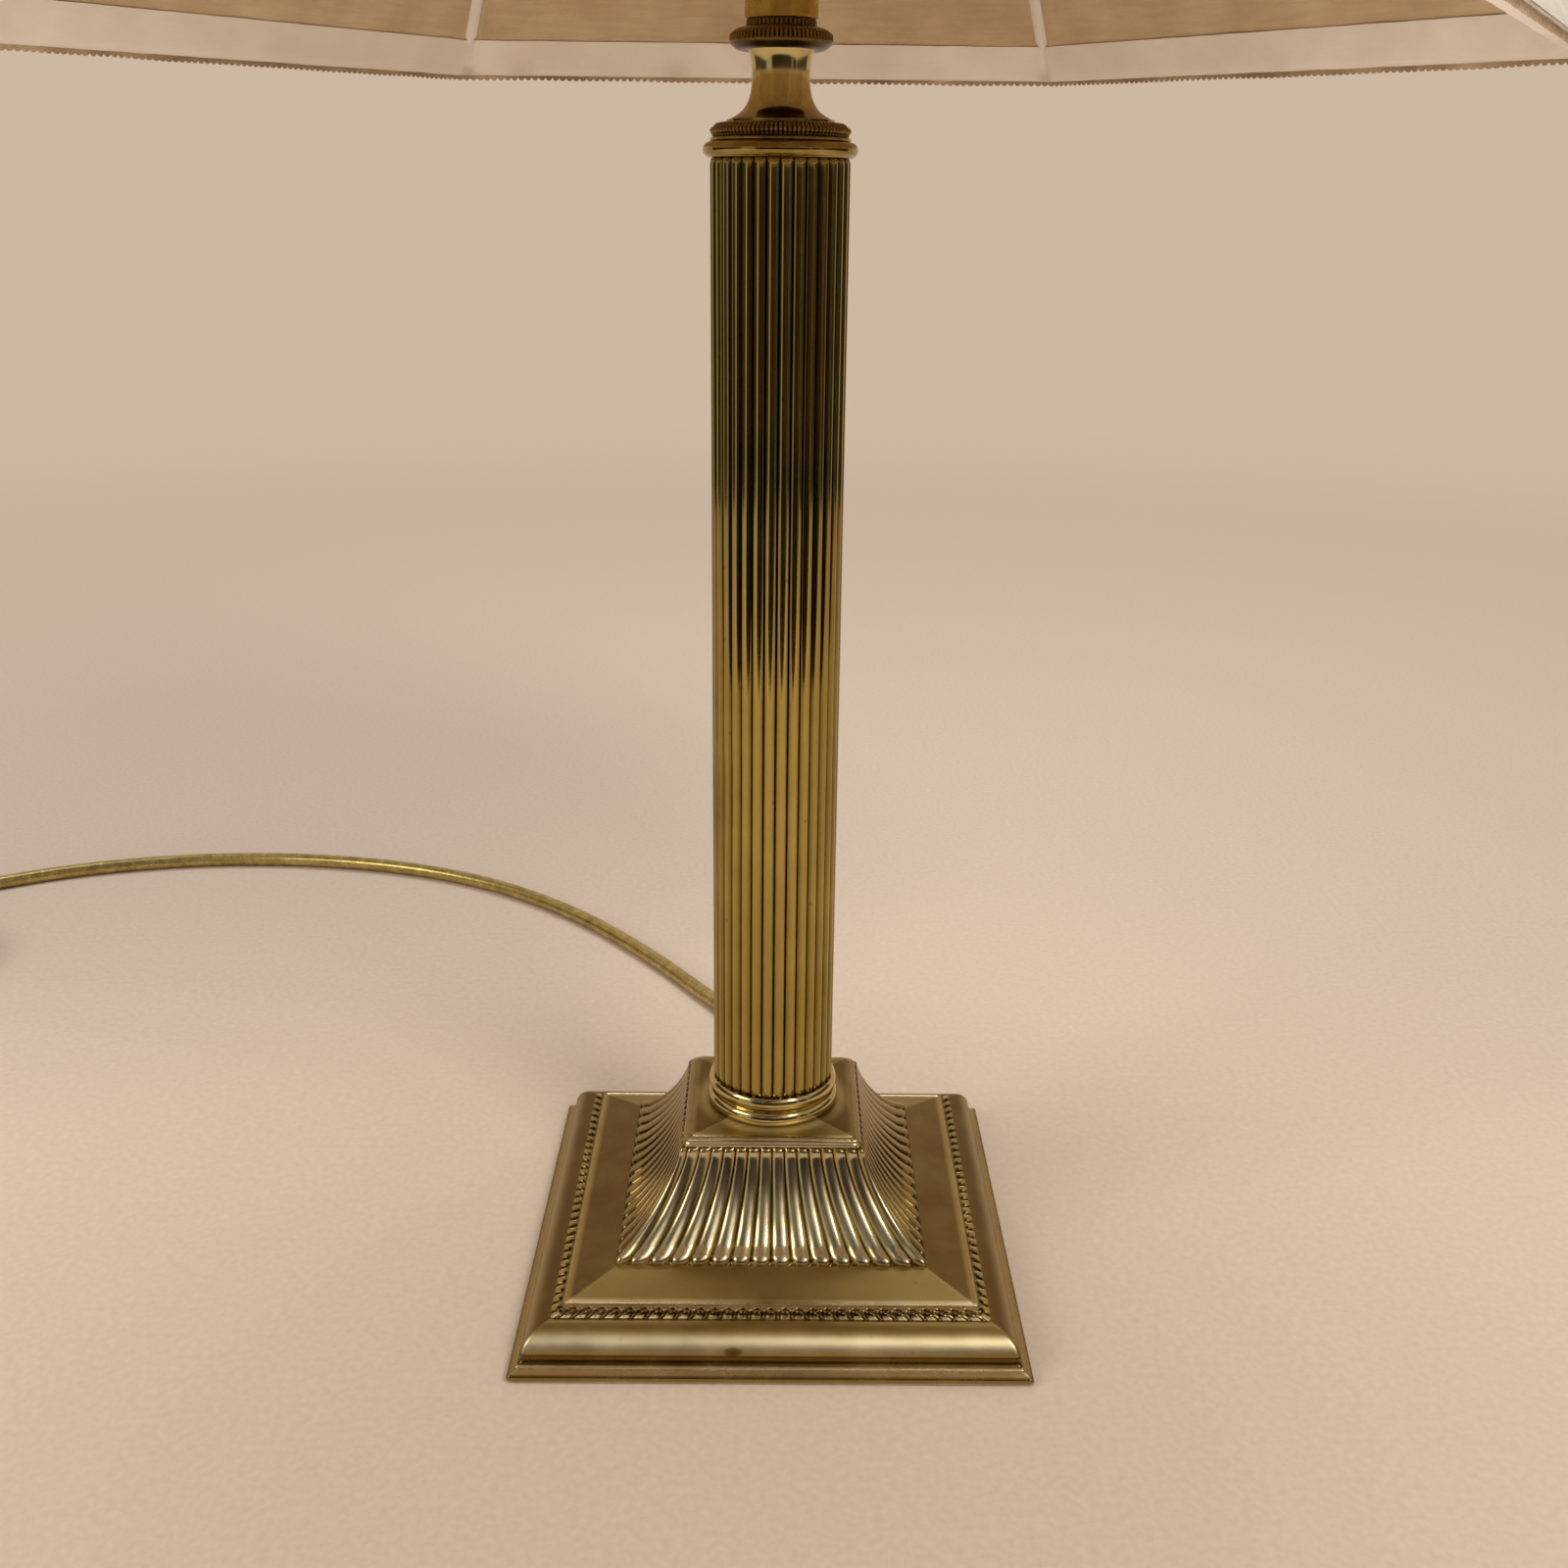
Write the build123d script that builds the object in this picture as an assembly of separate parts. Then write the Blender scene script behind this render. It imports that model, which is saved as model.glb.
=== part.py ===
from build123d import *
from math import ceil, cos, degrees, hypot, pi, radians, sin, sqrt
import os

# A column table lamp: square pressed base on an iron weight, reeded brass column, bayonet
# lampholder, and a large six-sided silk shade that hangs on a wire carrier.
# Millimetres. The origin is the centre of the base on the table, +Z is up, and the flex
# leaves through the back of the base, towards +Y.

# ------------------------------------------------------------------ fits
thread_gap = 0.05          # a screwed or pressed pair, on the radius
running_gap = 0.05         # a pin or bar that turns or slides in its hole, on the radius
loose_gap = 0.3            # between pieces that turn past each other
rod_hole_gap = 0.2         # round the tie rod, on the radius
spigot_gap = 0.1           # a centring spigot in the column, on the radius
trim_gap = 0.1             # between trims laid end to end, and the frame and its bands

# ------------------------------------------------------------------ base
base_half = 77.0           # half the width over the bottom lip
shell_wall = 1.2
shell_lift = 0.8           # the felt holds the shell's lip this far off the table

# Members of the side moulding from the lip up: how far each runs in, how far it rises, and
# how far it bulges out (+) or hollows in (-) between its ends.
lip_member = (0.0, 1.8, 0.0)
ledge_member = (1.2, 0.0, 0.0)
chamfer_member = (1.8, 1.1, 0.0)
cove_member = (1.6, 3.4, -0.5)
bead_member = (0.2, 0.9, 0.4)
shoulder_member = (6.7, 6.2, 1.5)
scallop_member = (3.5, 1.9, 0.0)
fillet_member = (0.0, 0.8, 0.0)
fillet_top_member = (1.0, 0.0, 0.0)
panel_member = (13.5, 3.1, 0.0)
cavetto_member = (18.5, 30.2, -5.0)
rim_bead_member = (1.2, 1.3, 0.35)
platform_step_member = (1.4, 0.7, 0.0)

felt_height = 1.6
felt_inset = 3.4           # from the outside of the lip
plate_thickness = 2.0
plate_inset = 6.0          # from the outside of the lip
weight_half = 60.0
weight_gap = 2.5           # between the shell's inside and the casting
cavity_radius = 23.0       # room for the rod nut and the bend of the flex
boss_radius = 20.0         # the casting's top, which the platform rests on
cavity_roof = 13.3         # iron above the cavity, up to the platform
slot_side_gap = 1.75       # each side of the flex in the casting's slot
plate_screw_offset = 45.0  # of a bottom screw from the middle of the plate, both ways
plate_screw_radius = 1.5
plate_screw_head_radius = 3.0
plate_screw_head_height = 1.6
plate_screw_length = 8.0

# ------------------------------------------------------------------ tie rod
rod_radius = 5.0
rod_bore_radius = 3.7
washer_radius = 14.0
washer_thickness = 1.5
nut_flats = 14.0
nut_height = 4.0
rod_below_nut = 1.5
rod_in_cap = 9.4           # how far the rod screws into the lampholder

# ------------------------------------------------------------------ column
foot_lower_radius = 21.0
foot_lower_height = 4.4
foot_groove_radius = 19.2
foot_groove_height = 0.8
foot_upper_radius = 20.5
foot_upper_height = 4.3
column_radius = 19.0
column_length = 276.4
column_wall = 1.5          # at the bottom of the valleys
reed_count = 32
reed_depth = 0.9
spigot_height = 5.0
collar_radius = 20.7
collar_height = 5.0
collar_edge_bulge = 0.9
beaded_radius = 19.2
beaded_height = 3.7
beaded_bulge = 0.9
neck_foot_radius = 14.6
neck_waist_radius = 7.7
neck_top_radius = 8.8
neck_waist_height = 11.8
neck_height = 17.9
neck_foot_flare = 0.8      # share of the flare that the foot's curve spends near the bottom
knurled_radius = 13.7
knurled_height = 5.2
knurled_seat_radius = 9.4
knurled_top_radius = 11.6
knurled_widest = 0.42      # share of its height at its widest
knurled_edge = 0.6         # half the rounded edge at its widest
lock_radius = 9.3
lock_height = 2.2

# ------------------------------------------------------------------ lampholder
cap_neck_radius = 9.7
cap_neck_height = 10.0
cap_flare_height = 8.0
cap_flare_turn = 0.45      # share of the flare's height where it turns from hollow to round
cap_flare_bulge = 0.8
cap_radius = 19.5
cap_skirt_height = 15.0
cap_wall = 1.3
neck_screw_height = 6.6    # of its axis above the cap's lower edge
neck_screw_radius = 1.3
neck_screw_head_radius = 1.9
neck_screw_head_length = 2.7
screw_slot_width = 0.6
insulator_height = 14.0
insulator_boss_height = 5.0
insulator_boss_radius = 10.8
bar_height = 4.8           # axis of the push bar above the insulator's underside
bar_radius = 2.5
bar_length = 50.0
bar_travel = 6.0
bar_tip_round = 1.0
plunger_pitch = 7.0
plunger_radius = 1.7
plunger_length = 7.0
plunger_travel = 2.0
plunger_stand = 2.4        # how far it stands out of the boss
spring_wire = 0.35
spring_radius = 1.15
spring_turns = 4
barrel_radius = 14.3
barrel_bore_radius = 11.4
barrel_height = 26.0
barrel_flange_radius = 18.3
barrel_flange_height = 2.5
union_radius = 21.0
union_grip = 4.0           # how far it reaches down over the cap
union_lip = 1.2
shade_nut_radius = 18.5
shade_nut_height = 5.0
shade_nut_step = 1.5       # of its grip behind its flange

# ------------------------------------------------------------------ bulb
contact_gap = 0.3          # between the plungers and the bulb's contacts at rest
bulb_base_height = 1.4
bulb_base_radius = 9.0
bulb_cap_radius = 11.0
bulb_cap_height = 23.8
bulb_pin_height = 7.0      # above the contacts
bulb_pin_radius = 1.0
bulb_pin_reach = 13.1
bulb_twist = 20.0          # degrees between locked and free
glass_radius = 30.0
glass_neck_radius = 10.6
glass_wall = 0.8
glass_height = 81.0
glass_hip_angle = -35.0    # where the neck's curve meets the ball
glass_neck_rise = 14.0     # how far the neck runs straight before it swells
stem_radius = 4.0
stem_height = 34.0
filament_radius = 11.0
filament_wire = 0.3
filament_bend = 2.0

# ------------------------------------------------------------------ shade carrier
carrier_ring_thickness = 1.6
carrier_ring_radius = 25.0
carrier_wire_radius = 1.5
carrier_reach = 38.0       # from the axis to the upright part of an arm
carrier_height = 149.0     # over the two arms
carrier_bend_radius = 4.5
carrier_foot_inset = 2.0   # an arm's foot stands this far inside the ring's edge
carrier_shoulder_low = 7.0
carrier_shoulder_high = 28.0
carrier_plate_radius = 12.0
carrier_plate_thickness = 3.0
peg_radius = 4.0
peg_height = 18.0
peg_collar_radius = 7.0
peg_collar_height = 3.0

# ------------------------------------------------------------------ shade
hub_radius = 13.0
hub_bore_gap = 0.3
hub_height = 7.0
hub_rest_gap = 0.1
trunnion_radius = 1.5
gimbal_inner_radius = 19.0
gimbal_wall = 3.0
gimbal_height = 9.0
shade_lean = 1.7           # degrees: the front of the shade hangs low on its gimbal
shade_turn = 1.2           # degrees that the shade is turned on the carrier
shade_shift = -5.0         # of the bent frame from its hub, along X
shade_rim = 366.4          # height of the rim when level
shade_height = 230.0
shade_rim_corner = 227.0   # from the frame's middle to a corner of the rim
shade_top_corner = 80.0
flare_radius = 2500.0      # of the hollow curve from rim to top, across the flats
cover_thickness = 1.0
frame_room = 5.2           # between cover and lining
lining_thickness = 0.8
lining_drop = 6.0          # the lining ends this far below the top
wire_inset = 3.4           # of the frame's wires behind the outside of the cover
ring_wire_radius = 1.6
strut_wire_radius = 1.5
strut_setback = 0.3        # of a strut's foot where the bottom ring bends towards it
wire_corner_radius = 3.0
gimp_width = 8.0
gimp_thickness = 1.2
band_height = 11.0
band_thickness = 0.6
picot_height = 2.0
picot_inset = 0.2
picot_thickness = 0.7
tape_width = 4.6
tape_thickness = 0.5
arm_wire_radius = 1.5

# ------------------------------------------------------------------ flex
cord_radius = 3.25
floor_gap = 0.05
exit_height = 9.0
inner_bend_radius = 20.0
core_radius = 0.9
core_pitch_radius = 1.7
core_gap = 0.1             # between the end of the sheath and the bare cores
bush_wall = 1.1
bush_gap = 0.1
bush_setback = 2.2         # of the bush's flange from the outside of the lip
bush_neck_length = 9.0
bush_flange_radius = 5.6
bush_flange_length = 2.2
bush_root_radius = 5.2
bush_tip_radius = 4.1
bush_taper_length = 22.0

floor_height = cord_radius + floor_gap
bush_seat = base_half - bush_setback
bush_end = bush_seat + bush_flange_length + bush_taper_length

# Free flex, from the bush to the coil, points chosen by hand.
cord_route = [
    (0, bush_end, exit_height),
    (0, 126, exit_height),
    (-22, 158, floor_height),
    (-55, 208, floor_height),
    (-98, 259, floor_height),
    (-150, 298, floor_height),
    (-212, 319, floor_height),
    (-280, 324, floor_height),
    (-345, 311, floor_height),
    (-397, 284, floor_height),
    (-437, 252, floor_height),
    (-458.5, 227.6, floor_height),
]
cord_end_run = 27.0        # the last run, straight into the coil

# Put-away coil of the rest of the flex, beside the lamp.
coil_centre = (-407, 186)
coil_heading = 294.0       # direction in which the flex joins the coil, degrees from +X
coil_outer_turn = 46.0
coil_pitch = 7.0
coil_layer = 7.0
coil_half_turns_in = 5
coil_half_turns_out = 4
coil_lead = 6.5
coil_tail = 50.0

# Plug at the end of the tail, lying on its back.
plug_width = 49.0
plug_entry_width = 34.0
plug_length = 48.0
plug_taper = 0.4           # share of its length over which it widens
plug_round = 6.0
plug_split_height = 11.5
plug_sleeve_radius = 5.5
plug_sleeve_length = 9.0
plug_base_thickness = 9.0
earth_pin = (4.0, 8.0, 22.7)
line_pin = (6.3, 4.0, 17.7)
line_pin_spacing = 22.2
earth_pin_ahead = 11.1     # centre of the plug face to the earth pin's centre
line_pin_behind = 11.1

# ------------------------------------------------------------------ heights worked out
moulding = [
    lip_member, ledge_member, chamfer_member, cove_member, bead_member, shoulder_member,
    scallop_member, fillet_member, fillet_top_member, panel_member, cavetto_member,
    rim_bead_member, platform_step_member,
]
platform_top = shell_lift + sum(member[1] for member in moulding)
platform_under = platform_top - shell_wall
plate_top = felt_height + plate_thickness
cavity_top = platform_under - cavity_roof
nut_top = cavity_top - washer_thickness
rod_bottom = nut_top - nut_height - rod_below_nut

foot_height = foot_lower_height + foot_groove_height + foot_upper_height
column_bottom = platform_top + foot_height
column_top = column_bottom + column_length
column_bore_radius = column_radius - reed_depth - column_wall
collar_top = column_top + collar_height
beaded_top = collar_top + beaded_height
neck_top = beaded_top + neck_height
knurled_top = neck_top + knurled_height
cap_bottom = knurled_top + lock_height
rod_top = cap_bottom + rod_in_cap

cap_neck_top = cap_bottom + cap_neck_height
cap_skirt_bottom = cap_neck_top + cap_flare_height
cap_rim = cap_skirt_bottom + cap_skirt_height
insulator_bottom = cap_rim - insulator_height
insulator_radius = cap_radius - cap_wall - loose_gap
boss_top = cap_rim + insulator_boss_height
bar_axis = insulator_bottom + bar_height
plunger_top = boss_top + plunger_stand
plunger_bottom = plunger_top - plunger_length
plunger_well = plunger_bottom - plunger_travel - spring_wire * 2 * (spring_turns + 1)
flange_top = cap_rim + barrel_flange_height
barrel_top = cap_rim + barrel_height
union_top = flange_top + union_lip
carrier_bottom = union_top + loose_gap
carrier_ring_top = carrier_bottom + carrier_ring_thickness
shade_nut_bottom = carrier_ring_top + loose_gap
contact_height = plunger_top + contact_gap
bulb_pin_level = contact_height + bulb_pin_height
glass_bottom = contact_height + bulb_base_height + bulb_cap_height

carrier_top = carrier_bottom + carrier_height
peg_collar_top = carrier_top + peg_collar_height
hub_bottom = peg_collar_top + hub_rest_gap
pivot_height = hub_bottom + hub_height / 2
shade_top = shade_rim + shade_height
lining_inset = cover_thickness + frame_room
lining_inner_inset = lining_inset + lining_thickness
bottom_ring_height = shade_rim + ring_wire_radius + trim_gap
top_ring_height = shade_top - ring_wire_radius - trim_gap

SIDES = 6
COS30 = cos(pi / SIDES)


# ------------------------------------------------------------------ helpers
def polar(radius, angle, height=0.0):
    """Point at a radius and an angle in degrees from +X."""
    return Vector(radius * cos(radians(angle)), radius * sin(radians(angle)), height)


def disc(radius, low, high):
    """Upright cylinder between two heights, on the lamp's axis."""
    return Pos(0, 0, low) * extrude(Circle(radius), high - low)


def washer(radius, bore, low, high):
    """Upright ring between two heights, on the lamp's axis."""
    return Pos(0, 0, low) * extrude(Circle(radius) - Circle(bore), high - low)


def block(half_x, half_y, low, high):
    """Box centred on the lamp's axis, between two heights."""
    return Pos(0, 0, low) * extrude(Rectangle(2 * half_x, 2 * half_y), high - low)


def turned(*edges):
    """Solid of revolution from a closed outline of (radius, height)."""
    return revolve(Plane.XZ * make_face(edges), Axis.Z)


def rod_between(start, end, radius):
    """Round bar from one point to another."""
    path = Line(start, end)
    return extrude(Plane(origin=path @ 0, z_dir=path % 0) * Circle(radius), path.length)


def tube_along(path, radius):
    """Round bar swept along a smooth path."""
    return sweep(Plane(origin=path @ 0, z_dir=path % 0) * Circle(radius), path=path)


def slab(side, reach):
    """Bar across the lamp whose section lies between a side outline and its mirror image."""
    edges = side + [mirror(edge, Plane.YZ) for edge in side]
    low, high = side[0] @ 0, side[-1] @ 1
    edges.append(Line((-low.X, low.Y), (low.X, low.Y)))
    edges.append(Line((-high.X, high.Y), (high.X, high.Y)))
    return extrude(Plane.XZ * make_face(edges), reach, both=True)


# ------------------------------------------------------------------ base
def moulding_side(inset):
    """Edges of the base's side moulding, moved in and down by inset."""
    edges = []
    x, z = base_half - inset, shell_lift - inset
    for run, rise, bulge in moulding:
        start, x, z = (x, z), x - run, z + rise
        if bulge:
            edges.append(SagittaArc(start, (x, z), -bulge))
        else:
            edges.append(Line(start, (x, z)))
    return edges


def base_solid(inset):
    """The base's outside as one block, moved in and down by inset."""
    across = slab(moulding_side(inset), base_half)
    return across & Rot(0, 0, 90) * across


def rear_bar(radius, start, end):
    """Round bar along +Y at the height of the flex exit."""
    return rod_between((0, start, exit_height), (0, end, exit_height), radius)


def base_shell():
    shell = base_solid(0) - base_solid(shell_wall)
    shell -= disc(rod_radius + rod_hole_gap, platform_under - 1, platform_top + 1)
    hole = cord_radius + bush_gap + bush_wall + bush_gap
    return shell - rear_bar(hole, bush_seat - bush_neck_length, bush_end)


def base_felt():
    half = base_half - felt_inset
    return block(half, half, 0, felt_height)


def plate_screw_places():
    """The four screws of the bottom plate."""
    sides = (-plate_screw_offset, plate_screw_offset)
    return [Pos(x, y, felt_height) for x in sides for y in sides]


def plate_screw(gap):
    """Countersunk screw, or the hole for it, pointing up from its head."""
    shank = extrude(Circle(plate_screw_radius + gap), plate_screw_length)
    head = Cone(plate_screw_head_radius + gap, plate_screw_radius + gap, plate_screw_head_height)
    return shank + Pos(0, 0, plate_screw_head_height / 2) * head


def base_plate():
    half = base_half - plate_inset
    plate = block(half, half, felt_height, plate_top)
    for place in plate_screw_places():
        plate -= place * plate_screw(spigot_gap)
    return plate


def base_screws():
    slot = Box(plate_screw_head_radius * 2, screw_slot_width, screw_slot_width)
    return Compound([place * (plate_screw(0) - slot) for place in plate_screw_places()])


def base_weight():
    casting = base_solid(shell_wall + weight_gap)
    casting &= block(weight_half, weight_half, plate_top, platform_under)
    casting += disc(boss_radius, cavity_top, platform_under)
    casting -= disc(cavity_radius, plate_top, cavity_top)
    casting -= disc(rod_radius + rod_hole_gap, cavity_top - 1, platform_under + 1)
    slot_half = cord_radius + slot_side_gap
    slot = block(slot_half, weight_half, plate_top, exit_height + slot_half)
    casting -= Pos(0, weight_half, 0) * slot
    for place in plate_screw_places():
        casting -= place * plate_screw(thread_gap)
    return casting


def cord_bush():
    bore = cord_radius + bush_gap
    neck = rear_bar(bore + bush_wall, bush_seat - bush_neck_length, bush_seat)
    flange = rear_bar(bush_flange_radius, bush_seat, bush_seat + bush_flange_length)
    taper = Cone(bush_root_radius, bush_tip_radius, bush_taper_length)
    middle = bush_end - bush_taper_length / 2
    bush = neck + flange + Pos(0, middle, exit_height) * Rot(-90, 0, 0) * taper
    return bush - rear_bar(bore, bush_seat - bush_neck_length - 1, bush_end + 1)


# ------------------------------------------------------------------ tie rod
def tie_rod():
    return washer(rod_radius, rod_bore_radius, rod_bottom, rod_top)


def rod_washer():
    return washer(washer_radius, rod_radius + rod_hole_gap, nut_top, cavity_top)


def rod_nut():
    flats = RegularPolygon(nut_flats / 2, SIDES, major_radius=False)
    nut = extrude(flats - Circle(rod_radius + thread_gap), nut_height)
    return Pos(0, 0, nut_top - nut_height) * nut


# ------------------------------------------------------------------ column
def column_ring():
    """Foot ring with two rounded beads, a groove between them and a spigot."""
    groove = foot_groove_radius
    bore = rod_radius + rod_hole_gap
    groove_bottom = platform_top + foot_lower_height
    groove_top = groove_bottom + foot_groove_height
    lower_edge = foot_lower_radius - foot_lower_height / 4
    upper_edge = foot_upper_radius - foot_upper_height / 4
    spigot = column_bore_radius - spigot_gap
    spigot_top = column_bottom + spigot_height
    return turned(
        Line((bore, platform_top), (lower_edge, platform_top)),
        ThreePointArc((lower_edge, platform_top),
                      (foot_lower_radius, platform_top + foot_lower_height / 2),
                      (lower_edge, groove_bottom)),
        Line((lower_edge, groove_bottom), (groove, groove_bottom)),
        Line((groove, groove_bottom), (groove, groove_top)),
        Line((groove, groove_top), (upper_edge, groove_top)),
        ThreePointArc((upper_edge, groove_top),
                      (foot_upper_radius, groove_top + foot_upper_height / 2),
                      (upper_edge, column_bottom)),
        Line((upper_edge, column_bottom), (spigot, column_bottom)),
        Line((spigot, column_bottom), (spigot, spigot_top)),
        Line((spigot, spigot_top), (bore, spigot_top)),
        Line((bore, spigot_top), (bore, platform_top)),
    )


def column_tube():
    """Brass tube with rounded reeds all round."""
    pitch = 360 / reed_count
    reeds = []
    for reed in range(reed_count):
        valley = polar(column_radius - reed_depth, reed * pitch)
        crest = polar(column_radius, (reed + 0.5) * pitch)
        next_valley = polar(column_radius - reed_depth, (reed + 1) * pitch)
        reeds.append(ThreePointArc(valley, crest, next_valley))
    section = make_face(reeds) - Circle(column_bore_radius)
    return Pos(0, 0, column_bottom) * extrude(section, column_length)


def collar():
    """Cap of the column, with a rounded edge and a spigot down into the tube."""
    bore = rod_radius + rod_hole_gap
    spigot = column_bore_radius - spigot_gap
    spigot_bottom = column_top - spigot_height
    edge = collar_radius - collar_edge_bulge
    return turned(
        Line((bore, spigot_bottom), (spigot, spigot_bottom)),
        Line((spigot, spigot_bottom), (spigot, column_top)),
        Line((spigot, column_top), (edge, column_top)),
        ThreePointArc((edge, column_top), (collar_radius, column_top + collar_height / 2),
                      (edge, collar_top)),
        Line((edge, collar_top), (bore, collar_top)),
        Line((bore, collar_top), (bore, spigot_bottom)),
    )


def beaded_ring():
    bore = rod_radius + rod_hole_gap
    edge = beaded_radius - beaded_bulge
    return turned(
        Line((bore, collar_top), (edge, collar_top)),
        ThreePointArc((edge, collar_top), (beaded_radius, collar_top + beaded_height * 0.4),
                      (edge - beaded_bulge, beaded_top)),
        Line((edge - beaded_bulge, beaded_top), (bore, beaded_top)),
        Line((bore, beaded_top), (bore, collar_top)),
    )


def neck():
    """Trumpet-shaped neck."""
    bore = rod_radius + rod_hole_gap
    waist = beaded_top + neck_waist_height
    foot_lead = (neck_foot_radius - neck_waist_radius) * neck_foot_flare
    return turned(
        Line((bore, beaded_top), (neck_foot_radius, beaded_top)),
        Bezier((neck_foot_radius, beaded_top),
               (neck_foot_radius - foot_lead, beaded_top + neck_waist_height * 0.2),
               (neck_waist_radius, beaded_top + neck_waist_height * 0.5),
               (neck_waist_radius, waist)),
        Bezier((neck_waist_radius, waist),
               (neck_waist_radius, (waist + neck_top) / 2),
               (neck_top_radius, neck_top)),
        Line((neck_top_radius, neck_top), (bore, neck_top)),
        Line((bore, neck_top), (bore, beaded_top)),
    )


def knurled_ring():
    bore = rod_radius + rod_hole_gap
    widest = neck_top + knurled_height * knurled_widest
    edge = knurled_radius - knurled_edge
    low, high = widest - knurled_edge, widest + knurled_edge
    return turned(
        Line((bore, neck_top), (knurled_seat_radius, neck_top)),
        Line((knurled_seat_radius, neck_top), (edge, low)),
        ThreePointArc((edge, low), (knurled_radius, widest), (edge, high)),
        Line((edge, high), (knurled_top_radius, knurled_top)),
        Line((knurled_top_radius, knurled_top), (bore, knurled_top)),
        Line((bore, knurled_top), (bore, neck_top)),
    )


def lock_ring():
    return washer(lock_radius, rod_radius + thread_gap, knurled_top, cap_bottom)


# ------------------------------------------------------------------ lampholder
def cap_outline(inset):
    """Flare and skirt of the holder cap, moved in by inset."""
    low = (cap_neck_radius - inset, cap_neck_top)
    turn_height = cap_neck_top + cap_flare_height * cap_flare_turn
    middle = ((cap_neck_radius + cap_radius) / 2 - inset, turn_height)
    high, rim = (cap_radius - inset, cap_skirt_bottom), (cap_radius - inset, cap_rim)
    return [
        SagittaArc(low, middle, -cap_flare_bulge),
        SagittaArc(middle, high, cap_flare_bulge),
        Line(high, rim),
    ]


def holder_cap():
    """Solid threaded neck that flares into a thin domed cup."""
    bore = rod_radius + thread_gap
    outside = cap_outline(0)
    cup = turned(*outside, Line((cap_neck_radius, cap_neck_top), (0, cap_neck_top)),
                 Line((0, cap_neck_top), (0, cap_rim)), Line((0, cap_rim), (cap_radius, cap_rim)))
    hollow = cap_outline(cap_wall)
    room = turned(*hollow, Line((cap_neck_radius - cap_wall, cap_neck_top), (0, cap_neck_top)),
                  Line((0, cap_neck_top), (0, cap_rim)),
                  Line((0, cap_rim), (cap_radius - cap_wall, cap_rim)))
    cap = disc(cap_neck_radius, cap_bottom, cap_neck_top) + (cup - room)
    cap -= disc(bore, cap_bottom - 1, cap_neck_top + 1)
    screw_axis = cap_bottom + neck_screw_height
    hole = neck_screw_radius + thread_gap
    cap -= rod_between((bore - 1, 0, screw_axis), (cap_neck_radius + 1, 0, screw_axis), hole)
    reach = cap_radius + 1
    return cap - rod_between((-reach, 0, bar_axis), (reach, 0, bar_axis), bar_radius + loose_gap)


def neck_screw():
    """Screw that locks the holder on the rod, with a slotted head."""
    axis = cap_bottom + neck_screw_height
    head_end = cap_neck_radius + neck_screw_head_length
    shank = rod_between((rod_radius, 0, axis), (cap_neck_radius, 0, axis), neck_screw_radius)
    head = rod_between((cap_neck_radius, 0, axis), (head_end, 0, axis), neck_screw_head_radius)
    depth = neck_screw_head_length / 2
    slot = Pos(head_end, 0, axis) * Box(depth, 2 * neck_screw_head_radius, screw_slot_width)
    return shank + head - slot


def plunger_places():
    """The two contact plungers stand side by side across the lamp."""
    return [Pos(0, side * plunger_pitch / 2, 0) for side in (-1, 1)]


def holder_insulator():
    body = disc(insulator_radius, insulator_bottom, cap_rim)
    body += disc(insulator_boss_radius, cap_rim, boss_top)
    reach = insulator_radius + 1
    body -= rod_between((-reach, 0, bar_axis), (reach, 0, bar_axis), bar_radius + running_gap)
    for place in plunger_places():
        body -= place * disc(plunger_radius + running_gap, plunger_well, boss_top + 1)
    return body


def push_bar():
    """Switch bar through the holder, further out on the right than on the left."""
    left = -bar_length / 2 + bar_travel / 2
    bar = rod_between((left, 0, bar_axis), (left + bar_length, 0, bar_axis), bar_radius)
    return fillet(bar.edges(), bar_tip_round)


def plunger(side):
    tip_round = plunger_radius * 0.6
    pin = disc(plunger_radius, plunger_bottom, plunger_top)
    pin = fillet(pin.edges().sort_by(Axis.Z)[-1], tip_round)
    return plunger_places()[side] * pin


def plunger_spring(side):
    """Coil spring between the plunger and the bottom of its well."""
    low = plunger_well + spring_wire
    high = plunger_bottom - spring_wire
    path = Helix((high - low) / spring_turns, high - low, spring_radius)
    coil = sweep(Plane(origin=path @ 0, z_dir=path % 0) * Circle(spring_wire), path=path)
    return plunger_places()[side] * Pos(0, 0, low) * coil


def sector(radius, start, end, low, high):
    """Wedge of a disc between two angles in degrees and two heights."""
    outline = Polyline((0, 0), polar(radius, start), polar(radius, end), close=True)
    return Pos(0, 0, low) * extrude(make_face(outline), high - low)


def holder_barrel():
    """Flanged barrel with two bayonet slots."""
    barrel = washer(barrel_radius, barrel_bore_radius, cap_rim, barrel_top)
    barrel += washer(barrel_flange_radius, barrel_bore_radius, cap_rim, flange_top)
    half = bulb_pin_radius + loose_gap
    half_angle = degrees(half / barrel_bore_radius)
    low, high = bulb_pin_level - half, bulb_pin_level + half
    reach = barrel_radius * 1.5
    for side in (90, 270):
        free = side - bulb_twist
        barrel -= sector(reach, free - half_angle, free + half_angle, low, barrel_top + 1)
        barrel -= sector(reach, free - half_angle, side + half_angle, low, high)
    return barrel


def union_ring():
    """Screwed ring that holds the barrel's flange on the cap."""
    low = cap_rim - union_grip
    ring = washer(union_radius, cap_radius + thread_gap, low, flange_top)
    return ring + washer(union_radius, barrel_radius + loose_gap, flange_top, union_top)


def shade_nut():
    """Screwed ring on the barrel that keeps the carrier down."""
    top = shade_nut_bottom + shade_nut_height
    bore = barrel_radius + thread_gap
    flange_top_face = shade_nut_bottom + shade_nut_height / 3
    flange = washer(shade_nut_radius, bore, shade_nut_bottom, flange_top_face)
    return flange + washer(shade_nut_radius - shade_nut_step, bore, shade_nut_bottom, top)


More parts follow.
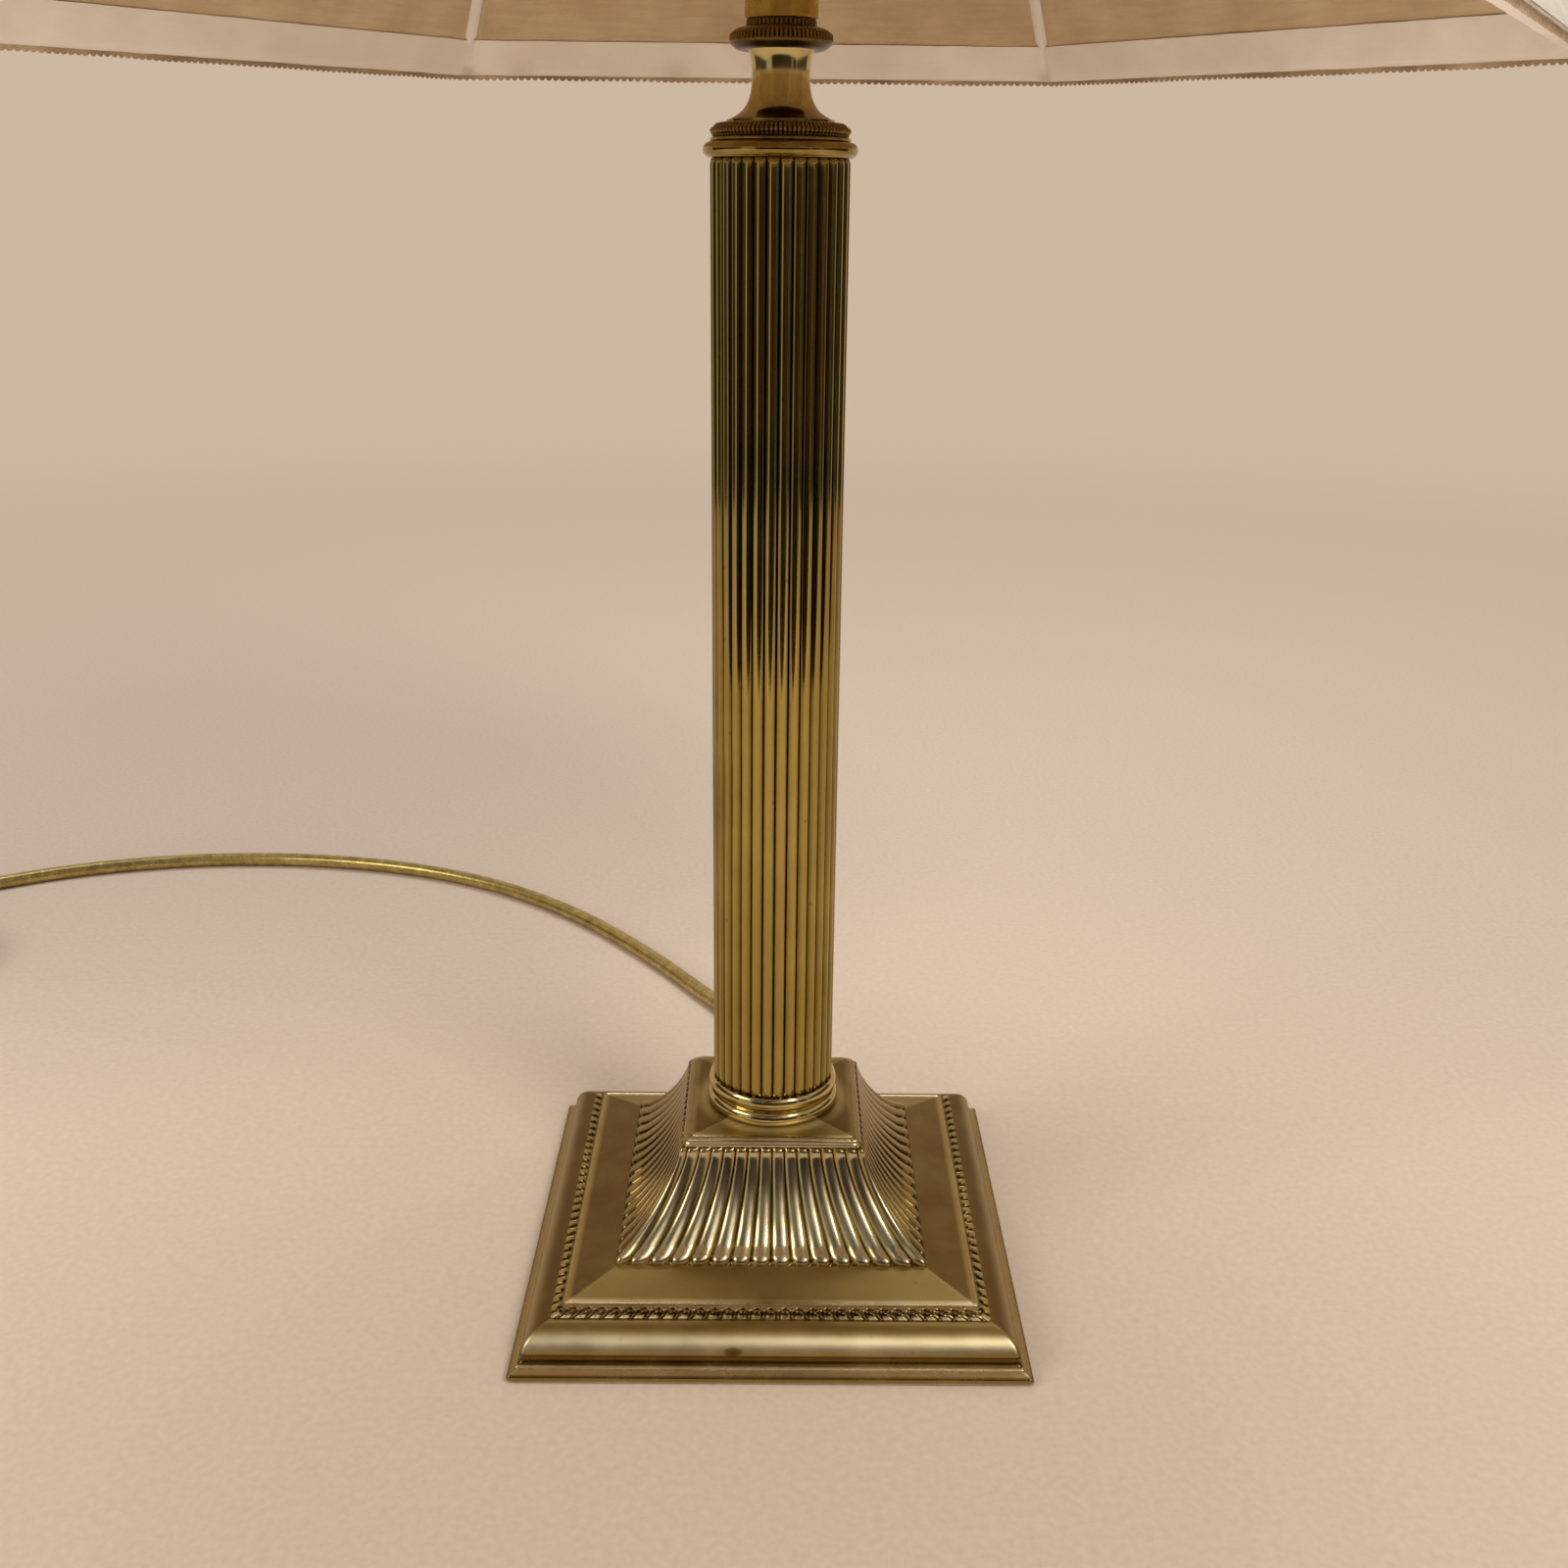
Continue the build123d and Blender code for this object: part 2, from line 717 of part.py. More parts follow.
def flex_cores():
    """Three cores from the end of the sheath up to the holder's terminals."""
    low = rod_top + core_gap
    cores = []
    for angle in (30, 150, 270):
        foot = polar(core_pitch_radius, angle, low)
        head = polar(core_pitch_radius, angle, insulator_bottom)
        cores.append(rod_between(foot, head, core_radius))
    return Compound(cores)


# ------------------------------------------------------------------ bulb
def bulb_base():
    """Black glass under the bulb's cap, with its contacts."""
    low, high = contact_height, contact_height + bulb_base_height
    return turned(
        Line((0, low), (bulb_base_radius - 1, low)),
        Line((bulb_base_radius - 1, low), (bulb_base_radius, high)),
        Line((bulb_base_radius, high), (0, high)),
        Line((0, high), (0, low)),
    )


def bulb_cap():
    """Bayonet cap with its two side pins."""
    low = contact_height + bulb_base_height
    cup = disc(bulb_cap_radius, low, glass_bottom)
    cup -= disc(bulb_cap_radius - 1, low + 1, glass_bottom + 1)
    for side in (90, 270):
        root = polar(bulb_cap_radius - 0.5, side, bulb_pin_level)
        cup += rod_between(root, polar(bulb_pin_reach, side, bulb_pin_level), bulb_pin_radius)
    return cup


def glass_outline(inset):
    """Half outline of the bulb's glass, moved in by inset."""
    neck_radius = glass_neck_radius - inset
    ball = glass_radius - inset
    centre = glass_bottom + glass_height - glass_radius
    start, foot = (neck_radius, glass_bottom), (0, glass_bottom)
    swell = (neck_radius, glass_bottom + glass_neck_rise)
    hip = Vector(0, centre) + polar(ball, glass_hip_angle)
    crown = (0, centre + ball)
    # The neck's curve runs into the ball along its tangent.
    ahead = hip - polar(ball / 2, glass_hip_angle + 90)
    return [
        Bezier(start, swell, ahead, hip),
        ThreePointArc(hip, (ball, centre), crown),
        Line(crown, foot),
        Line(foot, start),
    ]


def bulb_glass():
    return turned(*glass_outline(0)) - turned(*glass_outline(glass_wall))


def bulb_stem():
    """Glass stem inside the bulb that carries the filament."""
    return disc(stem_radius, glass_bottom, glass_bottom + stem_height)


def bulb_filament():
    """Filament bent in an arc, on two supports."""
    low = glass_bottom + stem_height
    ends = [(side * filament_radius, 0, low + filament_radius) for side in (-1, 1)]
    foot = stem_radius / 2
    path = FilletPolyline((-foot, 0, low + filament_wire), ends[0],
                          (0, 0, low + filament_radius * 1.6), ends[1],
                          (foot, 0, low + filament_wire), radius=filament_bend)
    return tube_along(path, filament_wire)


# ------------------------------------------------------------------ shade carrier
def carrier_ring():
    return washer(carrier_ring_radius, barrel_radius + loose_gap, carrier_bottom, carrier_ring_top)


def carrier_arm(side):
    """Bent wire from the carrier's ring out round the bulb to its top plate."""
    foot = side * (carrier_ring_radius - carrier_foot_inset)
    upright = side * carrier_reach
    top = carrier_top - carrier_plate_thickness / 2
    path = FilletPolyline(
        (foot, 0, carrier_ring_top), (foot, 0, carrier_ring_top + carrier_shoulder_low),
        (upright, 0, carrier_ring_top + carrier_shoulder_high), (upright, 0, top),
        (0, 0, top), radius=carrier_bend_radius)
    reach = carrier_wire_radius + 1
    plate = disc(carrier_plate_radius, top - reach, top + reach)
    return tube_along(path, carrier_wire_radius) - plate


def carrier_plate():
    """Top plate with the peg that the shade's hub drops over."""
    peg_top = peg_collar_top + peg_height
    plate = disc(carrier_plate_radius, carrier_top - carrier_plate_thickness, carrier_top)
    plate += disc(peg_collar_radius, carrier_top, peg_collar_top)
    peg = disc(peg_radius, peg_collar_top, peg_top)
    return plate + chamfer(peg.edges().sort_by(Axis.Z)[-1], peg_radius / 3)


# ------------------------------------------------------------------ shade
def hang(piece):
    """Turn a level piece of the shade, shift it and lean it on the gimbal."""
    return lean(Pos(shade_shift, 0, 0) * Rot(0, 0, shade_turn) * piece)


def lean(piece):
    """Lean a piece of the shade on the gimbal's pins."""
    return Pos(0, 0, pivot_height) * Rot(shade_lean, 0, 0) * Pos(0, 0, -pivot_height) * piece


def flare(height):
    """Half the width across the flats of the shade's outside at a height."""
    rim_half, top_half = shade_rim_corner * COS30, shade_top_corner * COS30
    run, rise = rim_half - top_half, shade_height
    chord = hypot(run, rise)
    stand = sqrt(flare_radius ** 2 - (chord / 2) ** 2) / chord
    centre_x = (rim_half + top_half) / 2 + stand * rise
    centre_z = shade_rim + rise / 2 + stand * run
    return centre_x - sqrt(flare_radius ** 2 - (height - centre_z) ** 2)


def shade_solid(inset, low, high):
    """Six-sided block under the shade's curve, moved in by inset, between two heights."""
    points = [(flare(z) - inset, z) for z in (low, (low + high) / 2, high)]
    across = slab([ThreePointArc(*points)], shade_rim_corner * 1.2)
    return Rot(0, 0, 30) * across & Rot(0, 0, 90) * across & Rot(0, 0, 150) * across


def shade_skin(inset, thickness, low, high):
    """Six-sided wall of the shade between two heights."""
    return shade_solid(inset, low, high) - shade_solid(inset + thickness, low - 1, high + 1)


def corner_strips(width):
    """Upright boxes that pick out the six corners of the shade."""
    box = Pos(0, 0, shade_rim) * Box(2.4 * shade_rim_corner, width, 3 * shade_height)
    return box + Rot(0, 0, 60) * box + Rot(0, 0, 120) * box


def shade_cover():
    return hang(shade_skin(0, cover_thickness, shade_rim, shade_top))


def shade_lining():
    return hang(shade_skin(lining_inset, lining_thickness, shade_rim, shade_top - lining_drop))


def frame_corner(height):
    """Distance from the axis to the frame's wire at a corner."""
    return (flare(height) - wire_inset) / COS30


def wire_ring(height):
    """Level hexagon of frame wire."""
    radius = frame_corner(height)
    points = [polar(radius, 60 * corner, height) for corner in range(SIDES)]
    path = FilletPolyline(*points, radius=wire_corner_radius, close=True)
    start = path @ 0
    return sweep(Plane(origin=start, z_dir=path % 0) * Circle(ring_wire_radius), path=path)


def shade_bottom_ring():
    return hang(wire_ring(bottom_ring_height))


def shade_top_ring():
    return hang(wire_ring(top_ring_height))


def level_strut(corner):
    """Curved wire down one corner of the level frame, from the side of one ring to the other."""
    heights = (bottom_ring_height, (bottom_ring_height + top_ring_height) / 2, top_ring_height)
    rounding = wire_corner_radius * (1 / COS30 - 1)
    path = ThreePointArc(*[(frame_corner(z) - rounding, 0, z) for z in heights])
    low = (ring_wire_radius + strut_setback) / path.length
    high = 1 - ring_wire_radius / path.length
    return Rot(0, 0, 60 * corner) * tube_along(path.trim(low, high), strut_wire_radius)


def shade_struts():
    """The six struts, butted to the rings they are welded to."""
    return Compound([hang(level_strut(corner)) for corner in range(SIDES)])


def gimbal_middle():
    """Where the gimbal's axis stands before the shade is turned and shifted."""
    return polar(-shade_shift, -shade_turn)


def hub_arm_wires(gap):
    """Three wires from the gimbal ring up to alternate corners of the top ring."""
    wires = []
    for angle in (60, 180, 300):
        foot = polar(gimbal_inner_radius + gimbal_wall / 2, angle, pivot_height + gimbal_height / 4)
        inner = gimbal_middle() + foot
        outer = polar(frame_corner(top_ring_height), angle, top_ring_height)
        wires.append(rod_between(inner, outer, arm_wire_radius + gap))
    return wires


def level_gimbal_ring():
    """The gimbal ring before it leans and is bored."""
    half = gimbal_height / 2
    outer = gimbal_inner_radius + gimbal_wall
    return washer(outer, gimbal_inner_radius, pivot_height - half, pivot_height + half)


def gimbal_arms():
    """The arms stop against the gimbal ring, the top ring and the strut at their corner."""
    half = gimbal_height / 2
    ring = disc(gimbal_inner_radius + gimbal_wall, pivot_height - half, pivot_height + half)
    ring = Pos(gimbal_middle()) * ring
    frame = wire_ring(top_ring_height)
    wires = [wire - ring - frame for wire in hub_arm_wires(0)]
    struts = [level_strut(corner) for corner in range(1, SIDES, 2)]
    return Compound([hang(wire - strut) for wire, strut in zip(wires, struts)])


def gimbal_ring():
    """Ring that leans on the hub's two pins."""
    bore = trunnion_radius + running_gap
    reach = gimbal_inner_radius + gimbal_wall + 1
    ring = lean(level_gimbal_ring())
    return ring - rod_between((-reach, 0, pivot_height), (reach, 0, pivot_height), bore)


def shade_hub():
    """Hub that sits on the carrier's peg, with two pins for the gimbal ring."""
    hub = disc(hub_radius, hub_bottom, hub_bottom + hub_height)
    reach = gimbal_inner_radius + gimbal_wall
    pins = rod_between((-reach, 0, pivot_height), (reach, 0, pivot_height), trunnion_radius)
    bore = disc(peg_radius + hub_bore_gap, hub_bottom - 1, hub_bottom + hub_height + 1)
    return hub + pins - bore


def rim_band():
    """Cream tape folded under the rim and up inside the lining."""
    low = shade_rim - band_thickness
    fold = shade_skin(0, lining_inner_inset, low, shade_rim)
    inside = shade_skin(lining_inner_inset, band_thickness, low, shade_rim + band_height)
    return hang(fold + inside)


def top_band():
    """Cream tape over the top edge and down inside the lining."""
    high = shade_top + band_thickness
    fold = shade_skin(0, lining_inner_inset, shade_top, high)
    inside = shade_skin(lining_inner_inset - band_thickness, band_thickness,
                        shade_top - lining_drop + trim_gap, shade_top)
    # The tape is snipped round each arm from its lower edge.
    for wire in hub_arm_wires(loose_gap):
        inside -= wire + Pos(0, 0, -arm_wire_radius) * wire
    return hang(fold + inside)


def strut_tapes():
    """Cream tapes over the lining at the six corners."""
    skin = shade_skin(lining_inner_inset, tape_thickness, shade_rim + band_height + trim_gap,
                      shade_top - lining_drop)
    return hang(skin & corner_strips(tape_width))


def rim_gimp():
    """White braid round the outside of the rim."""
    return hang(shade_skin(-gimp_thickness, gimp_thickness, shade_rim - band_thickness,
                           shade_rim + gimp_width))


def top_gimp():
    """White braid round the outside of the top."""
    return hang(shade_skin(-gimp_thickness, gimp_thickness, shade_top - gimp_width,
                           shade_top + band_thickness))


def corner_gimp():
    """White braid down the six outside corners."""
    skin = shade_skin(-gimp_thickness, gimp_thickness, shade_rim + gimp_width + trim_gap,
                      shade_top - gimp_width - trim_gap)
    return hang(skin & corner_strips(tape_width))


def rim_picot():
    """Tan picot tape that hangs under the rim."""
    high = shade_rim - band_thickness
    return hang(shade_skin(picot_inset, picot_thickness, high - picot_height, high))


# ------------------------------------------------------------------ flex
def inner_flex():
    """Flex from the lampholder down the rod, round a bend and out through the bush."""
    path = FilletPolyline((0, 0, rod_top), (0, 0, exit_height), (0, bush_end, exit_height),
                          radius=inner_bend_radius)
    return tube_along(path, cord_radius)


def coil_tangent():
    """Unit vector along which the flex joins the coil."""
    return polar(1, coil_heading)


def coil_start_side():
    """Unit vector from the coil's centre to where the flex joins it."""
    return polar(1, coil_heading - 90)


def coil_join():
    """Start of the coil's lead."""
    centre = Vector(*coil_centre, floor_height)
    return centre + coil_start_side() * coil_outer_turn - coil_tangent() * coil_lead


def free_route():
    """Every point of the free flex."""
    last = coil_join()
    before = last - coil_tangent() * cord_end_run
    return [Vector(*point) for point in cord_route] + [before, last]


def route_radii(points):
    """Arc at each corner: 0.45 of its shorter run over the tangent of half its turn."""
    radii = []
    for before, corner, after in zip(points, points[1:], points[2:]):
        run_in, run_out = corner - before, after - corner
        half_turn = radians(run_in.get_angle(run_out)) / 2
        shorter = min(run_in.length, run_out.length)
        radii.append(0.45 * shorter * cos(half_turn) / sin(half_turn))
    return radii


def cord():
    points = free_route()
    radii = route_radii(points)
    path = FilletPolyline(*points, radius=radii)
    tube = tube_along(path, cord_radius)
    print("free flex radii", [round(radius) for radius in radii])
    print("free flex length", round(path.length), "volume ratio",
          round(tube.volume / (pi * cord_radius ** 2 * path.length), 4))
    return tube


def coil_edges():
    """Lead, half turns in, a climbing half turn, half turns out, and the tail."""
    side, heading = coil_start_side(), coil_tangent()
    point = coil_join()
    edges = [Line(point, point + heading * coil_lead)]
    point = edges[0] @ 1
    radius = coil_outer_turn
    steps = [-1] * coil_half_turns_in + [0] + [1] * coil_half_turns_out
    for step in steps:
        rise = coil_layer if step == 0 else 0
        end = point - side * (2 * radius) + Vector(0, 0, rise)
        middle = (point + end) * 0.5 + heading * sqrt(radius ** 2 + (rise / 2) ** 2)
        edges.append(ThreePointArc(point, middle, end))
        point, side, heading = end, side * -1, heading * -1
        inward = coil_pitch / 2
        radius += inward if step >= 0 else -inward
    edges.append(Line(point, point + heading * coil_tail))
    return edges


def coil_gap(edges):
    """Least gap between turns of the coil, measured on points along it."""
    samples = []
    travelled = 0.0
    for edge in edges:
        count = max(4, ceil(edge.length / 3))
        for index in range(count):
            samples.append((travelled + edge.length * index / count, edge @ (index / count)))
        travelled += edge.length
    least = travelled
    for index, (way, point) in enumerate(samples):
        for other_way, other in samples[index + 1:]:
            if other_way - way > 12 * cord_radius:
                least = min(least, (other - point).length)
    return least - 2 * cord_radius


def cord_coil():
    edges = coil_edges()
    path = Wire(edges)
    print("coil length", round(path.length), "least gap", round(coil_gap(edges), 2))
    return tube_along(path, cord_radius)


def coil_end_place():
    """Place at the end of the coil's tail, its X pointing on along the flex."""
    tail = coil_edges()[-1]
    return Plane(origin=tail @ 1, x_dir=tail % 1, z_dir=(0, 0, 1)).location


def plug_outline():
    """Plug seen from its face: narrow at the flex, wide at the far end."""
    half, entry = plug_width / 2, plug_entry_width / 2
    near, far = plug_sleeve_length, plug_sleeve_length + plug_length
    widest = near + plug_length * plug_taper
    outline = Polyline((near, -entry), (widest, -half), (far, -half), (far, half),
                       (widest, half), (near, entry), close=True)
    return fillet(make_face(outline).vertices(), plug_round)


def plug_floor():
    """Height of the table under the flex's axis at the plug."""
    return -(floor_height + coil_layer)


def plug_cover():
    """Back half of the plug, which lies on the table, with the flex's sleeve."""
    low = plug_floor()
    body = Pos(0, 0, low) * extrude(plug_outline(), plug_split_height)
    rounded = fillet(body.edges().group_by(Axis.Z)[0], plug_round / 3)
    sleeve = Cone(plug_sleeve_radius * 0.8, plug_sleeve_radius, plug_sleeve_length)
    sleeve = Pos(plug_sleeve_length / 2, 0, 0) * Rot(0, 90, 0) * sleeve
    return coil_end_place() * (rounded + sleeve)


def pin_places():
    """Centre and size of each pin on the plug's face."""
    middle = plug_sleeve_length + plug_length * 0.55
    places = [(Pos(middle + earth_pin_ahead, 0), earth_pin)]
    for side in (-1, 1):
        places.append((Pos(middle - line_pin_behind, side * line_pin_spacing / 2), line_pin))
    return places


def plug_base():
    """Front half of the plug, which carries the pins."""
    low = plug_floor() + plug_split_height
    body = Pos(0, 0, low) * extrude(plug_outline(), plug_base_thickness)
    body = fillet(body.edges().group_by(Axis.Z)[-1], plug_round / 3)
    for place, (length, width, _) in pin_places():
        body -= place * Pos(0, 0, low) * extrude(Rectangle(length, width), plug_base_thickness + 1)
    return coil_end_place() * body


def plug_pins():
    """Earth, live and neutral pins."""
    low = plug_floor() + plug_split_height
    pins = []
    for place, (length, width, reach) in pin_places():
        pin = extrude(Rectangle(length, width), plug_base_thickness + reach)
        tip = pin.edges().group_by(Axis.Z)[-1]
        pins.append(place * Pos(0, 0, low) * chamfer(tip, min(length, width) / 5))
    return coil_end_place() * Compound(pins)


# ------------------------------------------------------------------ all the pieces
def pieces():
    """Name and solid of every piece."""
    makers = [
        base_shell, base_felt, base_plate, base_screws, base_weight, cord_bush,
        tie_rod, rod_washer, rod_nut,
        column_ring, column_tube, collar, beaded_ring, neck, knurled_ring, lock_ring,
        holder_cap, neck_screw, holder_insulator, push_bar, holder_barrel, union_ring,
        shade_nut, flex_cores,
        bulb_base, bulb_cap, bulb_glass, bulb_stem, bulb_filament,
        carrier_ring, carrier_plate,
        shade_hub, gimbal_ring, gimbal_arms, shade_bottom_ring, shade_top_ring,
        shade_struts, shade_cover, shade_lining, rim_band, top_band, strut_tapes,
        rim_gimp, top_gimp, corner_gimp, rim_picot,
        inner_flex, cord, cord_coil, plug_cover, plug_base, plug_pins,
    ]
    for maker in makers:
        yield maker.__name__, maker()
    for side, name in enumerate(("front", "back")):
        yield "plunger_" + name, plunger(side)
        yield "plunger_spring_" + name, plunger_spring(side)
    for side, name in ((-1, "left"), (1, "right")):
        yield "carrier_arm_" + name, carrier_arm(side)


os.makedirs("parts", exist_ok=True)
for name, solid in pieces():
    export_step(solid, "parts/" + name + ".step")
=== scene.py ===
# %% [markdown]
# # A column table lamp, dressed for rendering
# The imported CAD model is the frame: every size and place comes from it. This lesson gives it the
# surfaces that the eye reads: the pressed reeds and scallops of the base, the drawn reeds of the
# column, turned and knurled brass, two layers of silk, tape and braid, and a gold flex.
# Everything is in metres, with +Z up and the lamp's front towards -Y.

# %% Load the frame
from math import atan, cos, exp, hypot, pi, radians, sin, sqrt, tan

import bpy
import numpy as np
from mathutils import Matrix, Vector, noise


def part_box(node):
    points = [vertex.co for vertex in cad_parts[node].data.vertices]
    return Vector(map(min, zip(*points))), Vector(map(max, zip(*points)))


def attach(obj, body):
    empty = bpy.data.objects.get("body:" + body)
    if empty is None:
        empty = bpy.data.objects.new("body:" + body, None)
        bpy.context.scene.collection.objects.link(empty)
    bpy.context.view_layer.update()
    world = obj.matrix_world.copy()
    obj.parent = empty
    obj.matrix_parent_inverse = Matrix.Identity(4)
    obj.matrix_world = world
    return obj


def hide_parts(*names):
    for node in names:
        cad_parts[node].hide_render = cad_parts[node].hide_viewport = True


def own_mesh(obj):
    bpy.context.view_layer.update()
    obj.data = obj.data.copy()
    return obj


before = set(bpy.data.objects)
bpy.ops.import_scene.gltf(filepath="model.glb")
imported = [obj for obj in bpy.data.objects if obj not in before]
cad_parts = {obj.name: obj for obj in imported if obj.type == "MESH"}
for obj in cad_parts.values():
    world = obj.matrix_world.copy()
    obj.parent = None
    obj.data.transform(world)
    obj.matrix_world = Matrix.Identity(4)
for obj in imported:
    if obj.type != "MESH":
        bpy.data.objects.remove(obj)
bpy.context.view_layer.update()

MM = 0.001

# %% [markdown]
# ## The camera
# The photograph was taken from just in front of the lamp, a little below the shade's rim and
# looking down. Its place and lens were worked out from the square base, the round column and the
# six-sided rim, so the same view comes from a real camera and not from moving the lamp.

# %% Camera
CAMERA_PLACE = Vector((0.0, -0.4731, 0.3252))
CAMERA_YAW, CAMERA_PITCH, CAMERA_ROLL = 0.0057, 0.3364, 0.0102
SENSOR_MM, FOCAL_PIXELS, PHOTO_PIXELS = 36.0, 1677.7, 1600

ahead = Vector((sin(CAMERA_YAW) * cos(CAMERA_PITCH), cos(CAMERA_YAW) * cos(CAMERA_PITCH),
                -sin(CAMERA_PITCH)))
level = Vector((cos(CAMERA_YAW), -sin(CAMERA_YAW), 0))
upright = level.cross(ahead)
across = cos(CAMERA_ROLL) * level + sin(CAMERA_ROLL) * upright
upward = cos(CAMERA_ROLL) * upright - sin(CAMERA_ROLL) * level

lens = bpy.data.cameras.new("camera")
lens.sensor_width = SENSOR_MM
lens.lens = FOCAL_PIXELS * SENSOR_MM / PHOTO_PIXELS
lens.clip_start = 0.02
camera = bpy.data.objects.new("camera", lens)
turn = Matrix((across, upward, -ahead)).transposed()
camera.matrix_world = Matrix.Translation(CAMERA_PLACE) @ turn.to_4x4()
bpy.context.scene.collection.objects.link(camera)
bpy.context.scene.camera = camera
bpy.context.scene.view_settings.view_transform = "Standard"
print("lens", round(lens.lens, 2), "mm at", [round(x, 4) for x in CAMERA_PLACE])

# %% [markdown]
# ## Small helpers
# A colour is written as the sRGB hex value that a painter's chart would give, and one function
# turns it to the linear numbers that light works in. One function adds a node, its settings and
# its links, so a finish reads as a short list of what it is made of.

# %% Colour and nodes
def linear(colour):
    """The linear red, green, blue and alpha of an sRGB hex colour."""
    parts = [int(colour[i:i + 2], 16) / 255 for i in (1, 3, 5)]
    return [c / 12.92 if c <= 0.04045 else ((c + 0.055) / 1.055) ** 2.4 for c in parts] + [1.0]


def add(tree, kind, settings, links=()):
    """Add a node. Settings name its properties or sockets, and links feed its sockets."""
    made = tree.nodes.new("ShaderNode" + kind)
    for key, value in settings.items():
        if key == "stops":
            fill_ramp(made.color_ramp, value)
        elif isinstance(key, str) and hasattr(made, key):
            setattr(made, key, value)
        else:
            made.inputs[key].default_value = value
    for key, source in dict(links).items():
        if isinstance(source, bpy.types.Node):
            source = source.outputs[0]
        tree.links.new(source, made.inputs[key])
    return made


def fill_ramp(ramp, stops):
    """Set a colour ramp from (place, hex colour) or (place, grey) pairs."""
    while len(ramp.elements) < len(stops):
        ramp.elements.new(0.5)
    for element, (place, tone) in zip(ramp.elements, stops):
        element.position = place
        element.color = linear(tone) if isinstance(tone, str) else (tone, tone, tone, 1.0)


def finish(name):
    """A new material with its node tree emptied down to the surface shader."""
    material = bpy.data.materials.new(name)
    material.use_nodes = True
    return material, material.node_tree, material.node_tree.nodes["Principled BSDF"]


def bands(spacing_mm):
    """The Wave Texture's scale whose bands are this far apart."""
    return 0.31416 / (spacing_mm * MM)


def grains(size_mm):
    """The Noise or Voronoi Texture's scale whose grains are about this large."""
    return 1 / (size_mm * MM)


def put_in_scene(name, data):
    """A new object that carries this data, linked to the scene."""
    made = bpy.data.objects.new(name, data)
    bpy.context.scene.collection.objects.link(made)
    return made


print("white is", linear("#FFFFFF")[:3], "and one 4 mm grain needs a scale of", grains(4))

# %% [markdown]
# ## Finishes: brass in five states
# The lamp is brass all through, and the eye tells its parts apart by what has happened to the
# surface. The base was pressed from sheet, antiqued brown and rubbed back, so its high points are
# silvery and its hollows dark. The column was drawn and lacquered. Turned pieces are polished.
# The knurled rings hold old polish in their grooves. All are one recipe with other numbers: a
# ramp from a dark to a light tone, driven by a value that the mesh carries and by cloudy
# mottling. On most pieces that value is how worn each point is; on the base and the column it
# also carries painted highlights, painted reflections and painted shade. The base also carries a
# value called satin, which is how much a brush has softened its gloss there. A metal keeps the
# default IOR.

# %% Brass recipe
SPECK_APART_MM = 9.0


def brass(name, tones, rough, mottle_mm, mottle_share, grain_mm, grain_depth_mm, speck=0.0,
          even=0.0, satin=False):
    """Brass whose tone follows the value of wear and painted light, or an even one, and its gloss
    the satin value.
    """
    material, tree, shader = finish(name)
    place = add(tree, "TexCoord", {})
    wear = add(tree, "Attribute", {"attribute_name": "wear"})
    cloud = add(tree, "TexNoise", {"Scale": grains(mottle_mm), "Detail": 6.0, "Roughness": 0.62},
                {"Vector": place.outputs["Object"]})
    spread = add(tree, "MapRange", {"From Min": 0.25, "From Max": 0.75,
                                    "To Min": even - mottle_share, "To Max": even + mottle_share},
                 {"Value": cloud.outputs["Fac"]})
    level = add(tree, "Math", {"operation": "ADD"}, {0: wear.outputs["Fac"], 1: spread})
    tone = add(tree, "ValToRGB", {"stops": tones}, {"Fac": level})
    grain = add(tree, "TexNoise", {"Scale": grains(grain_mm), "Detail": 3.0},
                {"Vector": place.outputs["Object"]})
    bump = add(tree, "Bump", {"Strength": 1.0, "Distance": grain_depth_mm * MM},
               {"Height": grain.outputs["Fac"]})
    polish = add(tree, "MapRange", {"From Min": 0.3, "From Max": 0.7, "To Min": rough[0],
                                    "To Max": rough[1]}, {"Value": cloud.outputs["Fac"]})
    if satin:
        brushed = add(tree, "Attribute", {"attribute_name": "satin"})
        polish = add(tree, "Math", {"operation": "ADD"}, {0: polish, 1: brushed.outputs["Fac"]})
    colour = tone.outputs["Color"]
    if speck:
        dots = add(tree, "TexVoronoi", {"Scale": grains(SPECK_APART_MM), "Randomness": 1.0},
                   {"Vector": place.outputs["Object"]})
        near = add(tree, "MapRange", {"From Min": 0.03, "From Max": 0.09, "To Min": 1.0 - speck,
                                      "To Max": 1.0}, {"Value": dots.outputs["Distance"]})
        colour = add(tree, "Mix", {"data_type": "RGBA", "blend_type": "MULTIPLY", 0: 1.0},
                     {6: colour, 7: near}).outputs[2]
    shader.inputs["Metallic"].default_value = 1.0
    tree.links.new(colour, shader.inputs["Base Color"])
    tree.links.new(polish.outputs[0], shader.inputs["Roughness"])
    tree.links.new(bump.outputs[0], shader.inputs["Normal"])
    return material


# %% The brass finishes
antiqued = brass(
    "antiqued pressed brass",
    [(0.0, "#241B10"), (0.3, "#6E5426"), (0.6, "#A8945C"), (1.0, "#EADFB8")],
    (0.15, 0.24), 14.0, 0.06, 0.6, 0.005, speck=0.2, satin=True)
drawn = brass(
    "lacquered drawn brass",
    [(0.0, "#241A0A"), (0.35, "#7D6932"), (0.75, "#B7A258"), (1.0, "#D4C480")],
    (0.05, 0.11), 22.0, 0.08, 0.9, 0.0012, speck=0.35)
polished = brass(
    "polished turned brass",
    [(0.0, "#3E3216"), (0.4, "#95803F"), (0.8, "#CDBB82"), (1.0, "#E4D9B0")],
    (0.09, 0.18), 9.0, 0.15, 0.5, 0.003)
knurled = brass(
    "knurled brass with old polish in its grooves",
    [(0.0, "#1D150D"), (0.35, "#54421F"), (0.75, "#9A8248"), (1.0, "#C8B274")],
    (0.24, 0.4), 5.0, 0.12, 0.4, 0.006)
